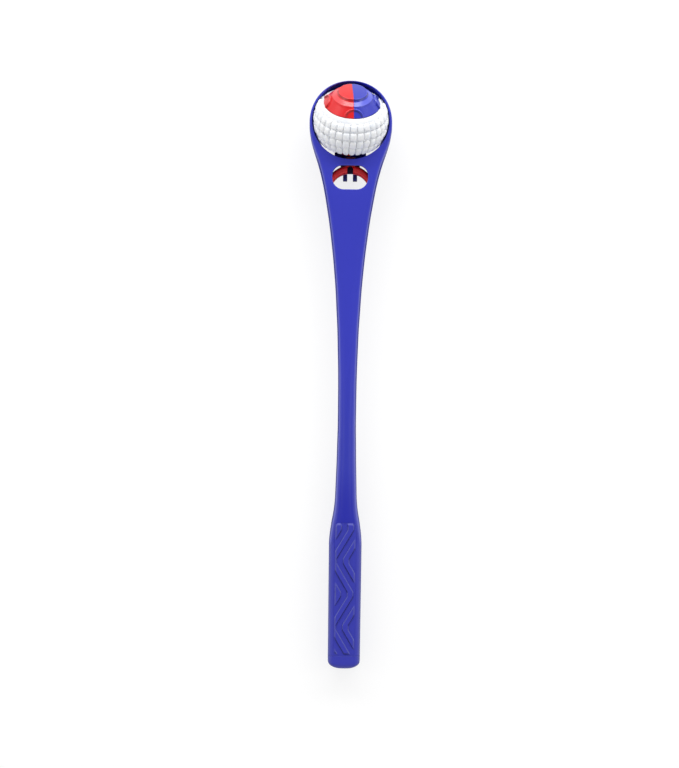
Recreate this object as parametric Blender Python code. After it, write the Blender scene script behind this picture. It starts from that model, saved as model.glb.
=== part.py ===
# Dog ball thrower: a two-shell wand with a cup at its head, a sprung lever in its neck,
# two grip panels and an end cap, and the ball that lies in the cup.
# It lies on its back: +X to the right, +Y towards the head, +Z up out of the cup. Metres.

import bpy
import bmesh
import numpy as np
from math import cos, sin, pi, radians, sqrt
from mathutils import Matrix, Vector

# Driving sizes
OVERALL_LENGTH = 0.4965
BALL_DIAMETER = 0.0635
CUP_CLEARANCE = 0.00075
CUP_WALL = 0.0022
RIM_ABOVE_EQUATOR = 0.0031
WAIST_WIDTH = 0.0155
WAIST_THICKNESS = 0.0140
WAIST_HEIGHT = 0.0123
HANDLE_WIDTH = 0.0275
HANDLE_END_WIDTH = 0.0270
HANDLE_THICKNESS = 0.0265
SEAT_GAP = 0.0003
OVERRUN = 0.004

# Cup
CUP_OFFSET = 0.0016
FOOT_TRIM = 0.0010
RIM_OUTER_ROUND = 0.0007
RIM_INNER_ROUND = 0.0004
CUP_CURVE = 2.3
SPINE_WIDTH = 0.0268
CUTOUT_TOP_BELOW_PARTING = 0.0020
CUTOUT_CORNER = 0.0018
CUTOUT_SPINE_DEGREES = 42.0

# Neck and its finger window
NECK_DEPTH = 0.0196
NECK_WALL = 0.0026
NECK_EDGE_ROUND = 0.0024
BRIDGE_WIDTH = 0.0053
WINDOW_WIDTH = 0.0300
WINDOW_LENGTH = 0.0200
WINDOW_TOP_CORNER = 0.0086
WINDOW_BOTTOM_CORNER = 0.0096
REAR_WINDOW_MARGIN = 0.0008
CAVITY_BELOW_WINDOW = 0.0070
PARTING_BELOW_RIM = 0.0098
TONGUE_WIDTH = 0.0164
TONGUE_LENGTH_BELOW_CUP = 0.0100
FINGER_WIDTH = 0.0036
FINGER_SPACING = 0.0084
FINGER_LENGTH = 0.0064
FINGER_HOOK_LENGTH = 0.0018
FINGER_HOOK_RISE = 0.0032
STOP_PAD_LENGTH = 0.0038

# Lever, its pins and its spring
HINGE_BELOW_WINDOW_TOP = 0.0159
LEVER_OUTER_CENTRE_BELOW_HINGE = 0.0030
LEVER_INNER_CENTRE_BELOW_HINGE = 0.0066
LEVER_THICKNESS = 0.0050
LEVER_ARM_WIDTH = 0.0026
LEVER_BOSS_RADIUS = 0.0031
LEVER_SLIT_WIDTH = 0.0042
LEVER_SLIT_BELOW_CROWN = 0.0021
LEVER_EDGE_ROUND = 0.0005
NOSE_WIDTH = 0.0080
NOSE_THICKNESS = 0.0024
NOSE_BALL_GAP = 0.0014
LEVER_TRAVEL_DEGREES = 6.0
PIN_DIAMETER = 0.0030
PIN_IN_WALL = 0.0015
SPRING_ROOM = 0.0029
SPRING_WIRE = 0.0006
SPRING_PITCH = 0.00105
SPRING_LEG = 0.0034
SPRING_SLACK = 0.0015
SPRING_HOOK = 0.0016
SPRING_TURNS = 1.75

# Handle
HANDLE_CORNER = 0.0052
CAP_LENGTH = 0.0120
CAP_CURVE = 4.0
CAP_SPIGOT_LENGTH = 0.0120
CAP_SPIGOT_WALL = 0.0050
PANEL_WIDTH = 0.0176
PANEL_LENGTH = 0.1114
PANEL_FROM_CAP = 0.0010
PANEL_BASE = 0.0013
PANEL_RELIEF = 0.0009
PANEL_CORNER = 0.0030
BAR_PITCH = 0.0105
BAR_WIDTH = 0.0052
ZIGZAG_HALF_PERIOD = 0.0281
ZIGZAG_REACH = 0.0143
ZIGZAG_STRAIGHT = 0.0077
ZIGZAG_FIRST_VERTEX = 0.0308

# Screws
SCREW_HEAD_DIAMETER = 0.0054
SCREW_HEAD_HEIGHT = 0.0018
SCREW_SHANK_DIAMETER = 0.0026
SCREW_LENGTH = 0.0080
SCREW_CLAMP = 0.0035
SCREW_SOCKET_WIDTH = 0.0024
SCREW_SOCKET_DEPTH = 0.0009

# Ball
BALL_TILT_DEGREES = 46.9
BALL_TOWARDS_TIP = 0.0006
BALL_BELOW_EQUATOR = 0.0003
TREAD_RELIEF = 0.00265
CORE_WALL = 0.0050
BELT_SEAT_DEPTH = 0.0019
BELT_LATITUDE = 34.5
BELT_LIP_HEIGHT = 0.0009
BELT_FLOOR_HEIGHT = 0.0004
KNOB_COLUMNS = 32
KNOB_GROOVE_DEGREES = 3.4
DOME_SHELF_RISE = 0.0007
DOME_EDGE_ROUND = 0.0006
DOME_BOSS_RIM = 0.0015
DOME_BOSS_RISE = 0.0013
DOME_BOSS_FLOOR = 0.0005

# Curves of the body's outline, as pairs of shares chosen by hand
WAIST_SHARE = 0.5813
HANDLE_START_SHARE = 0.7893
CAP_END_SHARE = 0.28
SCREW_CROWN_SHARE = 0.7
LEVER_OUTER_ARC_SHARE = 1.13
LEVER_INNER_ARC_SHARE = 1.145
NECK_WIDTH_SHARES = ((0.0, 1.0), (0.024, 0.9944), (0.0437, 0.9696), (0.0638, 0.937), (0.0839, 0.8846),
                     (0.1036, 0.8234), (0.1434, 0.6991), (0.1835, 0.5963), (0.2233, 0.5158),
                     (0.2631, 0.4488), (0.3218, 0.3583), (0.388, 0.2755), (0.4411, 0.2169),
                     (0.4943, 0.1688), (0.5538, 0.1224), (0.6203, 0.0857), (0.6869, 0.0505),
                     (0.7538, 0.0299), (0.8208, 0.0115), (0.8877, 0.0033), (1.0, 0.0))
NECK_FRONT_SHARES = ((0.0, 1.0), (0.16, 1.0), (0.22, 0.95), (0.32, 0.76), (0.42, 0.54), (0.52, 0.35),
                     (0.62, 0.21), (0.72, 0.11), (0.86, 0.03), (1.0, 0.0))
NECK_BACK_SHARES = ((0.0, 1.0), (0.18, 1.0), (0.3, 0.78), (0.5, 0.42), (0.75, 0.13), (1.0, 0.0))
HANDLE_SWELL_SHARES = ((0.0, 0.0), (0.154, 0.048), (0.304, 0.092), (0.403, 0.142), (0.503, 0.193),
                       (0.603, 0.245), (0.654, 0.302), (0.703, 0.386), (0.754, 0.51), (0.803, 0.661),
                       (0.854, 0.784), (0.903, 0.8975), (0.954, 0.9725), (1.0, 1.0))
HANDLE_BACK_SHARES = ((0.0, 0.0), (0.15, 0.06), (0.30, 0.16), (0.45, 0.34), (0.55, 0.55), (0.65, 0.80),
                      (0.74, 0.96), (0.8, 1.0), (1.0, 1.0))
# One side's rear cut-out round the cup: radius as a share of the cup's, and degrees from the shaft's side
CUTOUT_SHARES = ((1.09, 30.0), (1.0, 45.0), (0.925, 60.0), (0.83, 66.0), (0.68, 66.0), (0.62, 55.0))
# Latitudes, in degrees, of the grooves between the belt's rows of knobs; above the first is a smooth lip
KNOB_ROW_LATITUDES = (25.5, 13.0, -2.0, -18.0, -33.5)
SCREW_PLACE_SHARES = (0.222, 0.335, 0.49, 0.665)
# Radius and height of the domes' disc, its foot and the shelf, and the bosses' radius, to the core's radius
DOME_DISC_SHARES = (0.402, 0.962)
DOME_FOOT_SHARES = (0.4365, 0.88)
DOME_SHELF_SHARES = (0.5875, 0.828)
DOME_BOSS_SHARE = 0.292

# Facets
ARC_STEPS = 4
CAP_STEPS = 8
WINDOW_STEPS = 7
LOWER_POINTS = 15
CUP_STEPS = 36
CORE_STEPS = 30
BOSS_STEPS = 16
HOLLOW_STEPS = 20
LEVER_ARC_STEPS = 12

# Worked out from the sizes above
ball_radius = BALL_DIAMETER / 2
cup_radius = ball_radius + CUP_CLEARANCE
hoop_radius = cup_radius + CUP_WALL
equator = hoop_radius
rim_height = equator + RIM_ABOVE_EQUATOR
neck_back = rim_height - NECK_DEPTH
neck_parting = rim_height - PARTING_BELOW_RIM
tip_y = OVERALL_LENGTH / 2
hoop_y = tip_y - hoop_radius
cup_y = hoop_y + CUP_OFFSET
waist_from_tip = WAIST_SHARE * OVERALL_LENGTH
handle_from_tip = HANDLE_START_SHARE * OVERALL_LENGTH
cap_from_tip = OVERALL_LENGTH - CAP_LENGTH
window_top = cup_y - cup_radius - BRIDGE_WIDTH
window_bottom = window_top - WINDOW_LENGTH
tongue_end = cup_y - cup_radius - TONGUE_LENGTH_BELOW_CUP
hinge_y = window_top - HINGE_BELOW_WINDOW_TOP
hinge_z = neck_parting
cutout_top = neck_parting - CUTOUT_TOP_BELOW_PARTING
lever_top = hinge_z + LEVER_THICKNESS / 2
lever_bottom = hinge_z - LEVER_THICKNESS / 2
nose_bottom = hinge_z
nose_top = hinge_z + NOSE_THICKNESS
ball_centre = Vector((0, cup_y + BALL_TOWARDS_TIP, equator - BALL_BELOW_EQUATOR))
ball_matrix = Matrix.Translation(ball_centre) @ Matrix.Rotation(-radians(BALL_TILT_DEGREES), 4, 'X')
pin_hole_radius = PIN_DIAMETER / 2 + SEAT_GAP
core_radius = ball_radius - TREAD_RELIEF
belt_inner = core_radius - BELT_SEAT_DEPTH + 2 * SEAT_GAP


def eased(table, share):
    """Monotone cubic curve through a table of (share, value) pairs."""
    xs = [pair[0] for pair in table]
    ys = [pair[1] for pair in table]
    if share <= xs[0]:
        return ys[0]
    if share >= xs[-1]:
        return ys[-1]
    rises = [(ys[i + 1] - ys[i]) / (xs[i + 1] - xs[i]) for i in range(len(xs) - 1)]
    slopes = [0.0]
    for before, after in zip(rises, rises[1:]):
        slopes.append(0.0 if before * after <= 0 else 2 * before * after / (before + after))
    slopes.append(0.0)
    i = max(k for k in range(len(xs) - 1) if xs[k] <= share)
    run = xs[i + 1] - xs[i]
    t = (share - xs[i]) / run
    return ((2 * t**3 - 3 * t**2 + 1) * ys[i] + (t**3 - 2 * t**2 + t) * run * slopes[i]
            + (3 * t**2 - 2 * t**3) * ys[i + 1] + (t**3 - t**2) * run * slopes[i + 1])


def smooth_step(low, high, value):
    t = min(max((value - low) / (high - low), 0.0), 1.0)
    return t * t * (3 - 2 * t)


def material(name, colour, roughness, metallic=0.0):
    made = bpy.data.materials.new(name)
    made.use_nodes = True
    shader = made.node_tree.nodes["Principled BSDF"]
    shader.inputs["Base Color"].default_value = (*colour, 1.0)
    shader.inputs["Roughness"].default_value = roughness
    shader.inputs["Metallic"].default_value = metallic
    made.diffuse_color = (*colour, 1.0)
    return made


def add_object(name, points, faces, matrix=None):
    """Makes an object from points and faces, with its faces pointing out."""
    mesh = bpy.data.meshes.new(name)
    mesh.from_pydata([tuple(p) for p in points], [], faces)
    work = bmesh.new()
    work.from_mesh(mesh)
    if matrix is not None:
        bmesh.ops.transform(work, matrix=matrix, verts=work.verts)
    bmesh.ops.recalc_face_normals(work, faces=work.faces)
    work.to_mesh(mesh)
    work.free()
    made = bpy.data.objects.new(name, mesh)
    bpy.context.scene.collection.objects.link(made)
    return made


def loft(name, rings, matrix=None):
    """Closed rings of equal length, joined one to the next and capped at both ends."""
    count = len(rings[0])
    points = [point for ring in rings for point in ring]
    faces = [(r * count + i, r * count + (i + 1) % count,
              (r + 1) * count + (i + 1) % count, (r + 1) * count + i)
             for r in range(len(rings) - 1) for i in range(count)]
    faces.append(tuple(range(count)))
    faces.append(tuple((len(rings) - 1) * count + i for i in range(count)))
    return add_object(name, points, faces, matrix)


def revolve(name, profile, steps, matrix=None):
    """Turns (radius, height) points, which start and end on the axis, about +Z."""
    points = [(0, 0, profile[0][1]), (0, 0, profile[-1][1])]
    inner = profile[1:-1]
    for s in range(steps):
        turn = 2 * pi * (s + 0.5) / steps
        points += [(r * cos(turn), r * sin(turn), z) for r, z in inner]
    count = len(inner)
    faces = []
    for s in range(steps):
        here, there = 2 + s * count, 2 + (s + 1) % steps * count
        faces.append((0, here, there))
        faces += [(here + i, here + i + 1, there + i + 1, there + i) for i in range(count - 1)]
        faces.append((1, there + count - 1, here + count - 1))
    return add_object(name, points, faces, matrix)


def prism(name, outline, low, high, matrix=None):
    """Extrudes an (x, y) outline from one height to another."""
    return loft(name, [[(x, y, low) for x, y in outline], [(x, y, high) for x, y in outline]], matrix)


def box(name, low, high):
    outline = [(low[0], low[1]), (high[0], low[1]), (high[0], high[1]), (low[0], high[1])]
    return prism(name, outline, low[2], high[2])


def cylinder(name, radius, low, high, steps, matrix=None):
    outline = [(radius * cos(2 * pi * s / steps), radius * sin(2 * pi * s / steps)) for s in range(steps)]
    return prism(name, outline, low, high, matrix)


def rounded(corners, steps=ARC_STEPS):
    """Rounds an outline given as (x, y, radius) corners."""
    outline = []
    count = len(corners)
    for i, (x, y, radius) in enumerate(corners):
        here = Vector((x, y))
        to_last = (Vector(corners[i - 1][:2]) - here).normalized()
        to_next = (Vector(corners[(i + 1) % count][:2]) - here).normalized()
        if radius <= 0:
            outline.append((x, y))
            continue
        half = to_last.angle(to_next) / 2
        middle = here + (to_last + to_next).normalized() * (radius / sin(half))
        start = here + to_last * (radius * cos(half) / sin(half)) - middle
        end = here + to_next * (radius * cos(half) / sin(half)) - middle
        sweep = start.angle_signed(end)
        for s in range(steps + 1):
            turned = start.copy()
            turned.rotate(Matrix.Rotation(-sweep * s / steps, 2))
            outline.append(tuple(middle + turned))
    return outline


def carve(target, tool, operation='DIFFERENCE'):
    """Applies one exact Boolean and removes its tool."""
    step = target.modifiers.new(operation.lower(), 'BOOLEAN')
    step.operation = operation
    step.object = tool
    step.solver = 'EXACT'
    bpy.context.view_layer.update()
    evaluated = target.evaluated_get(bpy.context.evaluated_depsgraph_get())
    result = bpy.data.meshes.new_from_object(evaluated)
    target.modifiers.clear()
    target.data = result
    bpy.data.objects.remove(tool)


def copy_of(source, name):
    made = bpy.data.objects.new(name, source.data.copy())
    bpy.context.scene.collection.objects.link(made)
    return made


def finish(piece, look, sharp_degrees=35.0):
    """Gives a piece its material and smooth shading."""
    piece.data.materials.clear()
    piece.data.materials.append(look)
    for face in piece.data.polygons:
        face.material_index = 0
    piece.data.shade_smooth()
    piece.data.set_sharp_from_angle(angle=radians(sharp_degrees))


def set_origin(piece, place):
    """Moves a piece's origin to a place without moving the piece."""
    piece.data.transform(Matrix.Translation(-Vector(place)))
    piece.location = place


def cup_drop(share):
    """How far the cup's curve has come in at a share of its radius or depth, from 1 at the axis to 0."""
    return (1 - min(abs(share), 1.0)**CUP_CURVE)**(1 / CUP_CURVE)


def body_half_width(from_tip):
    if from_tip <= hoop_radius:
        return sqrt(max(hoop_radius**2 - (hoop_radius - from_tip)**2, 0))
    if from_tip <= waist_from_tip:
        share = (from_tip - hoop_radius) / (waist_from_tip - hoop_radius)
        return WAIST_WIDTH / 2 + (hoop_radius - WAIST_WIDTH / 2) * eased(NECK_WIDTH_SHARES, share)
    if from_tip <= handle_from_tip:
        share = (from_tip - waist_from_tip) / (handle_from_tip - waist_from_tip)
        return WAIST_WIDTH / 2 + (HANDLE_WIDTH - WAIST_WIDTH) / 2 * eased(HANDLE_SWELL_SHARES, share)
    taper = smooth_step(handle_from_tip, OVERALL_LENGTH, from_tip)
    return HANDLE_WIDTH / 2 - (HANDLE_WIDTH - HANDLE_END_WIDTH) / 2 * taper


def body_front(from_tip):
    waist_front = WAIST_HEIGHT + WAIST_THICKNESS
    if from_tip <= waist_from_tip:
        share = (from_tip - hoop_radius) / (waist_from_tip - hoop_radius)
        return waist_front + (rim_height - waist_front) * eased(NECK_FRONT_SHARES, share)
    share = (from_tip - waist_from_tip) / (handle_from_tip - waist_from_tip)
    return waist_front + (HANDLE_THICKNESS - waist_front) * eased(HANDLE_SWELL_SHARES, share)


def body_back(from_tip):
    bowl = equator - (hoop_radius + FOOT_TRIM) * cup_drop((hoop_radius - from_tip) / hoop_radius)
    if from_tip <= hoop_radius:
        return bowl
    if from_tip <= waist_from_tip:
        share = (from_tip - hoop_radius) / (waist_from_tip - hoop_radius)
        neck = WAIST_HEIGHT + (neck_back - WAIST_HEIGHT) * eased(NECK_BACK_SHARES, share)
        return min(bowl, neck)
    share = (from_tip - waist_from_tip) / (handle_from_tip - waist_from_tip)
    return WAIST_HEIGHT * (1 - eased(HANDLE_BACK_SHARES, share))


def parting(from_tip):
    """Height of the joint between the two shells."""
    middle = (body_front(from_tip) + body_back(from_tip)) / 2
    blend = smooth_step(tip_y - hinge_y, tip_y - hinge_y + hoop_radius, from_tip)
    return neck_parting + (middle - neck_parting) * blend


def body_section(from_tip):
    """One closed section of the whole body across the wand."""
    y = tip_y - from_tip
    width, front, back = body_half_width(from_tip), body_front(from_tip), body_back(from_tip)
    waistward = smooth_step(2 * hoop_radius, handle_from_tip, from_tip)
    neckward = smooth_step(hoop_radius, 2 * hoop_radius, from_tip)
    edge = RIM_OUTER_ROUND + (NECK_EDGE_ROUND - RIM_OUTER_ROUND) * neckward
    edge = min(edge + (HANDLE_CORNER - NECK_EDGE_ROUND) * waistward, width / 2)
    corner = min(HANDLE_CORNER, width / 2)
    boxiness = smooth_step(2 * hoop_radius - neck_back, tip_y - window_bottom, from_tip)
    shoulder = equator + (parting(from_tip) - equator) * boxiness
    ring = []
    for s in range(ARC_STEPS):
        turn = pi / 2 * s / (ARC_STEPS - 1)
        ring.append((-width + edge - edge * sin(pi / 2 - turn), front - edge + edge * sin(turn)))
    ring += [(-x, z) for x, z in reversed(ring)]
    corner_points = LOWER_POINTS // 2
    for s in range(LOWER_POINTS):
        turn = pi * s / (LOWER_POINTS - 1)
        sideways = cos(turn)
        bowl_x = width * abs(sideways)**(2 / CUP_CURVE) * (1 if sideways > 0 else -1)
        bowl_z = shoulder - (shoulder - back) * sin(turn)**(2 / CUP_CURVE)
        side = min(s, LOWER_POINTS - 1 - s)
        bend = pi / 2 * side / (corner_points - 1)
        box_x = 0.0 if side == corner_points else width - corner + corner * cos(bend)
        box_z = back if side == corner_points else back + corner - corner * sin(bend)
        box_x *= 1 if s < corner_points else -1
        ring.append((bowl_x + (box_x - bowl_x) * boxiness, bowl_z + (box_z - bowl_z) * boxiness))
    return [(x, y, z) for x, z in ring]


def body_stations():
    """Distances from the tip: close together round the hoop, wider along the shaft."""
    hoop_turns = [radians(degrees) for degrees in (4, 11, 19, 27, 35, 43, 51, 59, 67, 75, 83, 90)]
    stations = [hoop_radius * (1 - cos(turn)) for turn in hoop_turns]
    shares = (0.14, 0.28, 0.42, 0.56, 0.68, 0.78, 0.86, 0.93, 1.0)
    stations += [hoop_radius * (1 + share) for share in shares]
    neck_start, neck_steps = 2 * hoop_radius, 12
    stations += [neck_start + (waist_from_tip - neck_start) * s / neck_steps for s in range(1, neck_steps)]
    swell_steps = 10
    stations += [waist_from_tip + (handle_from_tip - waist_from_tip) * s / swell_steps
                 for s in range(swell_steps + 1)]
    stations.append((handle_from_tip + cap_from_tip) / 2)
    stations.append(cap_from_tip - SEAT_GAP)
    return stations


def cup_profile(radius, depth, opening_top=None, steps=9):
    """Half section of the cup's curve, from its deepest point up to its opening."""
    profile = []
    for s in range(steps + 1):
        turn = pi / 2 * s / steps
        profile.append((radius * sin(turn)**(2 / CUP_CURVE), equator - depth * cos(turn)**(2 / CUP_CURVE)))
    profile[0] = (0, profile[0][1])
    if opening_top is not None:
        flare = radius + RIM_INNER_ROUND
        profile += [(radius, rim_height - RIM_INNER_ROUND), (flare, rim_height), (flare, opening_top)]
    else:
        profile.append((radius, rim_height + OVERRUN))
    profile.append((0, profile[-1][1]))
    return profile


def cup_cavity(name):
    matrix = Matrix.Translation((0, cup_y, 0))
    return revolve(name, cup_profile(cup_radius, cup_radius, rim_height + OVERRUN), CUP_STEPS, matrix)


def neck_cavity(name):
    """Room for the lever between the two shells, closed off from the cup by the cup's own wall."""
    first, last, steps = hoop_radius + SPINE_WIDTH, tip_y - window_bottom + CAVITY_BELOW_WINDOW, 8
    rings = []
    for s in range(steps + 1):
        from_tip = first + (last - first) * s / steps
        half = body_half_width(from_tip) - NECK_WALL
        low, high = neck_back + NECK_WALL, body_front(from_tip) - NECK_WALL
        y = tip_y - from_tip
        rings.append([(-half, y, low), (half, y, low), (half, y, high), (-half, y, high)])
    cavity = loft(name, rings)
    in_place = Matrix.Translation((0, cup_y, 0))
    carve(cavity, revolve("cup_guard", cup_profile(hoop_radius, hoop_radius), CUP_STEPS, in_place))
    return cavity


def window_outline():
    half = WINDOW_WIDTH / 2
    return rounded([(half, window_top, WINDOW_TOP_CORNER), (half, window_bottom, WINDOW_BOTTOM_CORNER),
                    (-half, window_bottom, WINDOW_BOTTOM_CORNER), (-half, window_top, WINDOW_TOP_CORNER)],
                   WINDOW_STEPS)


def rear_window_outline():
    """The rear window ends at the tongue, which the side cut-outs leave standing."""
    half = WINDOW_WIDTH / 2 + REAR_WINDOW_MARGIN
    low = window_bottom - REAR_WINDOW_MARGIN
    return rounded([(half, tongue_end, 0), (half, low, WINDOW_BOTTOM_CORNER),
                    (-half, low, WINDOW_BOTTOM_CORNER), (-half, tongue_end, 0)], WINDOW_STEPS)


def cutout_outline(side):
    """One rear cut-out: beside the tongue, along the spine and round the cup's back."""
    window_edge = WINDOW_WIDTH / 2 + REAR_WINDOW_MARGIN
    lip = cup_y - cup_radius
    spine, tongue = SPINE_WIDTH / 2, TONGUE_WIDTH / 2
    spine_top = cup_y - CUTOUT_SHARES[-1][0] * cup_radius * cos(radians(CUTOUT_SPINE_DEGREES))
    corners = [(spine, spine_top, CUTOUT_CORNER),
               (spine, lip + spine - tongue, CUTOUT_CORNER), (tongue, lip, CUTOUT_CORNER),
               (tongue, tongue_end - SEAT_GAP, 0), (window_edge, tongue_end - SEAT_GAP, 0),
               (window_edge, lip, CUTOUT_CORNER)]
    for share, degrees in CUTOUT_SHARES:
        reach = share * cup_radius
        corners.append((reach * sin(radians(degrees)), cup_y - reach * cos(radians(degrees)), CUTOUT_CORNER))
    return [(x * side, y) for x, y in rounded(corners, 3)]


def finger_blocks():
    """Two fingers on the tongue's end: a stop pad under the lever, a thin bar and a hooked tip."""
    floor, top = neck_back, neck_back + NECK_WALL
    pad_low, pad_high = tongue_end, tongue_end + STOP_PAD_LENGTH
    pad_top = lever_bottom - SEAT_GAP - (pad_high - hinge_y) * sin(radians(LEVER_TRAVEL_DEGREES))
    tip = tongue_end - FINGER_LENGTH
    side = [(pad_high, floor), (pad_high, pad_top), (pad_low, pad_top), (pad_low - SEAT_GAP, top),
            (tip + FINGER_HOOK_LENGTH, top), (tip + FINGER_HOOK_LENGTH, top + FINGER_HOOK_RISE),
            (tip, top + FINGER_HOOK_RISE - SEAT_GAP), (tip, floor)]
    blocks = []
    for centre in (-FINGER_SPACING / 2, FINGER_SPACING / 2):
        edges = (centre - FINGER_WIDTH / 2, centre + FINGER_WIDTH / 2)
        blocks.append(loft("finger", [[(x, y, z) for y, z in side] for x in edges]))
    return blocks


def along_x(x, y, z):
    """Frame whose +Z lies along the object's +X."""
    return Matrix.Translation((x, y, z)) @ Matrix.Rotation(pi / 2, 4, 'Y')


def screw_places():
    return [share * OVERALL_LENGTH for share in SCREW_PLACE_SHARES]


def screw_seat(from_tip):
    """Height at which a screw's head bears, deep in the rear shell's counterbore."""
    return parting(from_tip) - SCREW_CLAMP


def screw_holes(body):
    head, shank = SCREW_HEAD_DIAMETER / 2 + SEAT_GAP, SCREW_SHANK_DIAMETER / 2 + SEAT_GAP
    for from_tip in screw_places():
        mouth = body_back(from_tip) - OVERRUN
        seat = screw_seat(from_tip)
        profile = [(0, mouth), (head, mouth), (head, seat + SEAT_GAP), (shank, seat + SEAT_GAP),
                   (shank, seat + SCREW_LENGTH + SEAT_GAP), (0, seat + SCREW_LENGTH + SEAT_GAP)]
        carve(body, revolve("screw_hole", profile, 16, Matrix.Translation((0, tip_y - from_tip, 0))))


def panel_outline(grow=0.0):
    half = PANEL_WIDTH / 2 + grow
    low = tip_y - cap_from_tip + PANEL_FROM_CAP - grow
    high = low + PANEL_LENGTH + 2 * grow
    radius = PANEL_CORNER + grow
    return rounded([(half, high, radius), (half, low, radius), (-half, low, radius), (-half, high, radius)])


def panel_recess(front):
    depth = PANEL_BASE + PANEL_RELIEF + SEAT_GAP
    low, high = (HANDLE_THICKNESS - depth, HANDLE_THICKNESS + OVERRUN) if front else (-OVERRUN, depth)
    return prism("panel_recess", panel_outline(SEAT_GAP), low, high)


def whole_body():
    """The wand before it is split: outer form, cup, neck cavity, windows, cut-outs and seats."""
    body = loft("body", [body_section(from_tip) for from_tip in body_stations()])
    below = box("below_foot", (-hoop_radius, -tip_y, -hoop_radius), (hoop_radius, tip_y, 0))
    carve(body, below)
    carve(body, neck_cavity("neck_cavity"))
    carve(body, cup_cavity("cup_cavity"))
    carve(body, prism("window", window_outline(), neck_back + 2 * NECK_WALL, rim_height + OVERRUN))
    carve(body, prism("rear_window", rear_window_outline(), -OVERRUN, cutout_top))
    for side in (-1, 1):
        carve(body, prism("cutout", cutout_outline(side), -OVERRUN, cutout_top))
    slot_half = NOSE_WIDTH / 2 + 2 * SEAT_GAP
    slot_drop = (cup_y - cup_radius - hinge_y) * sin(radians(LEVER_TRAVEL_DEGREES)) + 2 * SEAT_GAP
    carve(body, box("nose_slot", (-slot_half, cup_y - hoop_radius - SEAT_GAP, nose_bottom - slot_drop),
                    (slot_half, cup_y - cup_radius + OVERRUN, nose_top + 2 * SEAT_GAP)))
    socket = body_half_width(tip_y - hinge_y) - NECK_WALL + PIN_IN_WALL + SEAT_GAP
    carve(body, cylinder("pin_sockets", pin_hole_radius, -socket, socket, 16, along_x(0, hinge_y, hinge_z)))
    screw_holes(body)
    carve(body, panel_recess(True))
    carve(body, panel_recess(False))
    carve(body, spigot("spigot_bore", SEAT_GAP))
    return body


def parting_block(name, offset, upwards):
    """A block above or below the parting line, which runs from end to end."""
    far = 3 * rim_height if upwards else -rim_height
    line = [(tip_y - s, parting(s) + offset) for s in body_stations()]
    line = [(tip_y + OVERRUN, line[0][1])] + line + [(-tip_y - OVERRUN, line[-1][1])]
    side = line + [(-tip_y - OVERRUN, far), (tip_y + OVERRUN, far)]
    reach = hoop_radius + OVERRUN
    return loft(name, [[(x, y, z) for y, z in side] for x in (-reach, reach)])


def shells(look):
    front = whole_body()
    front.name = "front_shell"
    rear = copy_of(front, "rear_shell")
    carve(front, parting_block("under", SEAT_GAP / 2, False))
    carve(rear, parting_block("over", -SEAT_GAP / 2, True))
    for finger in finger_blocks():
        carve(rear, finger, 'UNION')
    finish(front, look)
    finish(rear, look)


def spigot(name, grow):
    """The end cap's plug, or with growth the bore that it sits in."""
    half = HANDLE_END_WIDTH / 2 - CAP_SPIGOT_WALL + grow
    low, high = CAP_SPIGOT_WALL - grow, HANDLE_THICKNESS - CAP_SPIGOT_WALL + grow
    radius = HANDLE_CORNER / 2
    start, end = -tip_y + CAP_LENGTH / 2, -tip_y + CAP_LENGTH + CAP_SPIGOT_LENGTH + grow
    corners = [(half, high), (half, low), (-half, low), (-half, high)]
    outline = rounded([(x, z, radius) for x, z in corners], 3)
    return loft(name, [[(x, y, z) for x, z in outline] for y in (start, end)])


def end_cap(look):
    """Rounded end that carries on the handle's section, with a plug into both shells."""
    section = [(x, z) for x, y, z in body_section(cap_from_tip)]
    middle = HANDLE_THICKNESS / 2
    rings = []
    for s in range(CAP_STEPS + 1):
        along = sin(pi / 2 * s / CAP_STEPS)
        shrink = max((1 - along**CAP_CURVE)**(1 / CAP_CURVE), CAP_END_SHARE)
        y = tip_y - cap_from_tip - CAP_LENGTH * along
        rings.append([(x * shrink, y, middle + (z - middle) * shrink) for x, z in section])
    cap = loft("end_cap", rings)
    carve(cap, spigot("plug", 0), 'UNION')
    finish(cap, look)


def zigzag(y):
    """Sideways place of the zigzag at a place along the panel: slanted runs joined by short straight ones."""
    half_turns = (y / ZIGZAG_HALF_PERIOD) % 2
    rising = half_turns if half_turns <= 1 else 2 - half_turns
    flat = ZIGZAG_STRAIGHT / ZIGZAG_HALF_PERIOD / 2
    return ZIGZAG_REACH * (min(max((rising - flat) / (1 - 2 * flat), 0), 1) - 0.5)


def zigzag_turns():
    """Distances down the panel at which the zigzag changes direction, past both of its ends."""
    flat = ZIGZAG_STRAIGHT / 2
    vertices = [ZIGZAG_FIRST_VERTEX + k * ZIGZAG_HALF_PERIOD for k in range(-3, 5)]
    return [vertex + part for vertex in vertices for part in (-flat, flat)]


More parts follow.
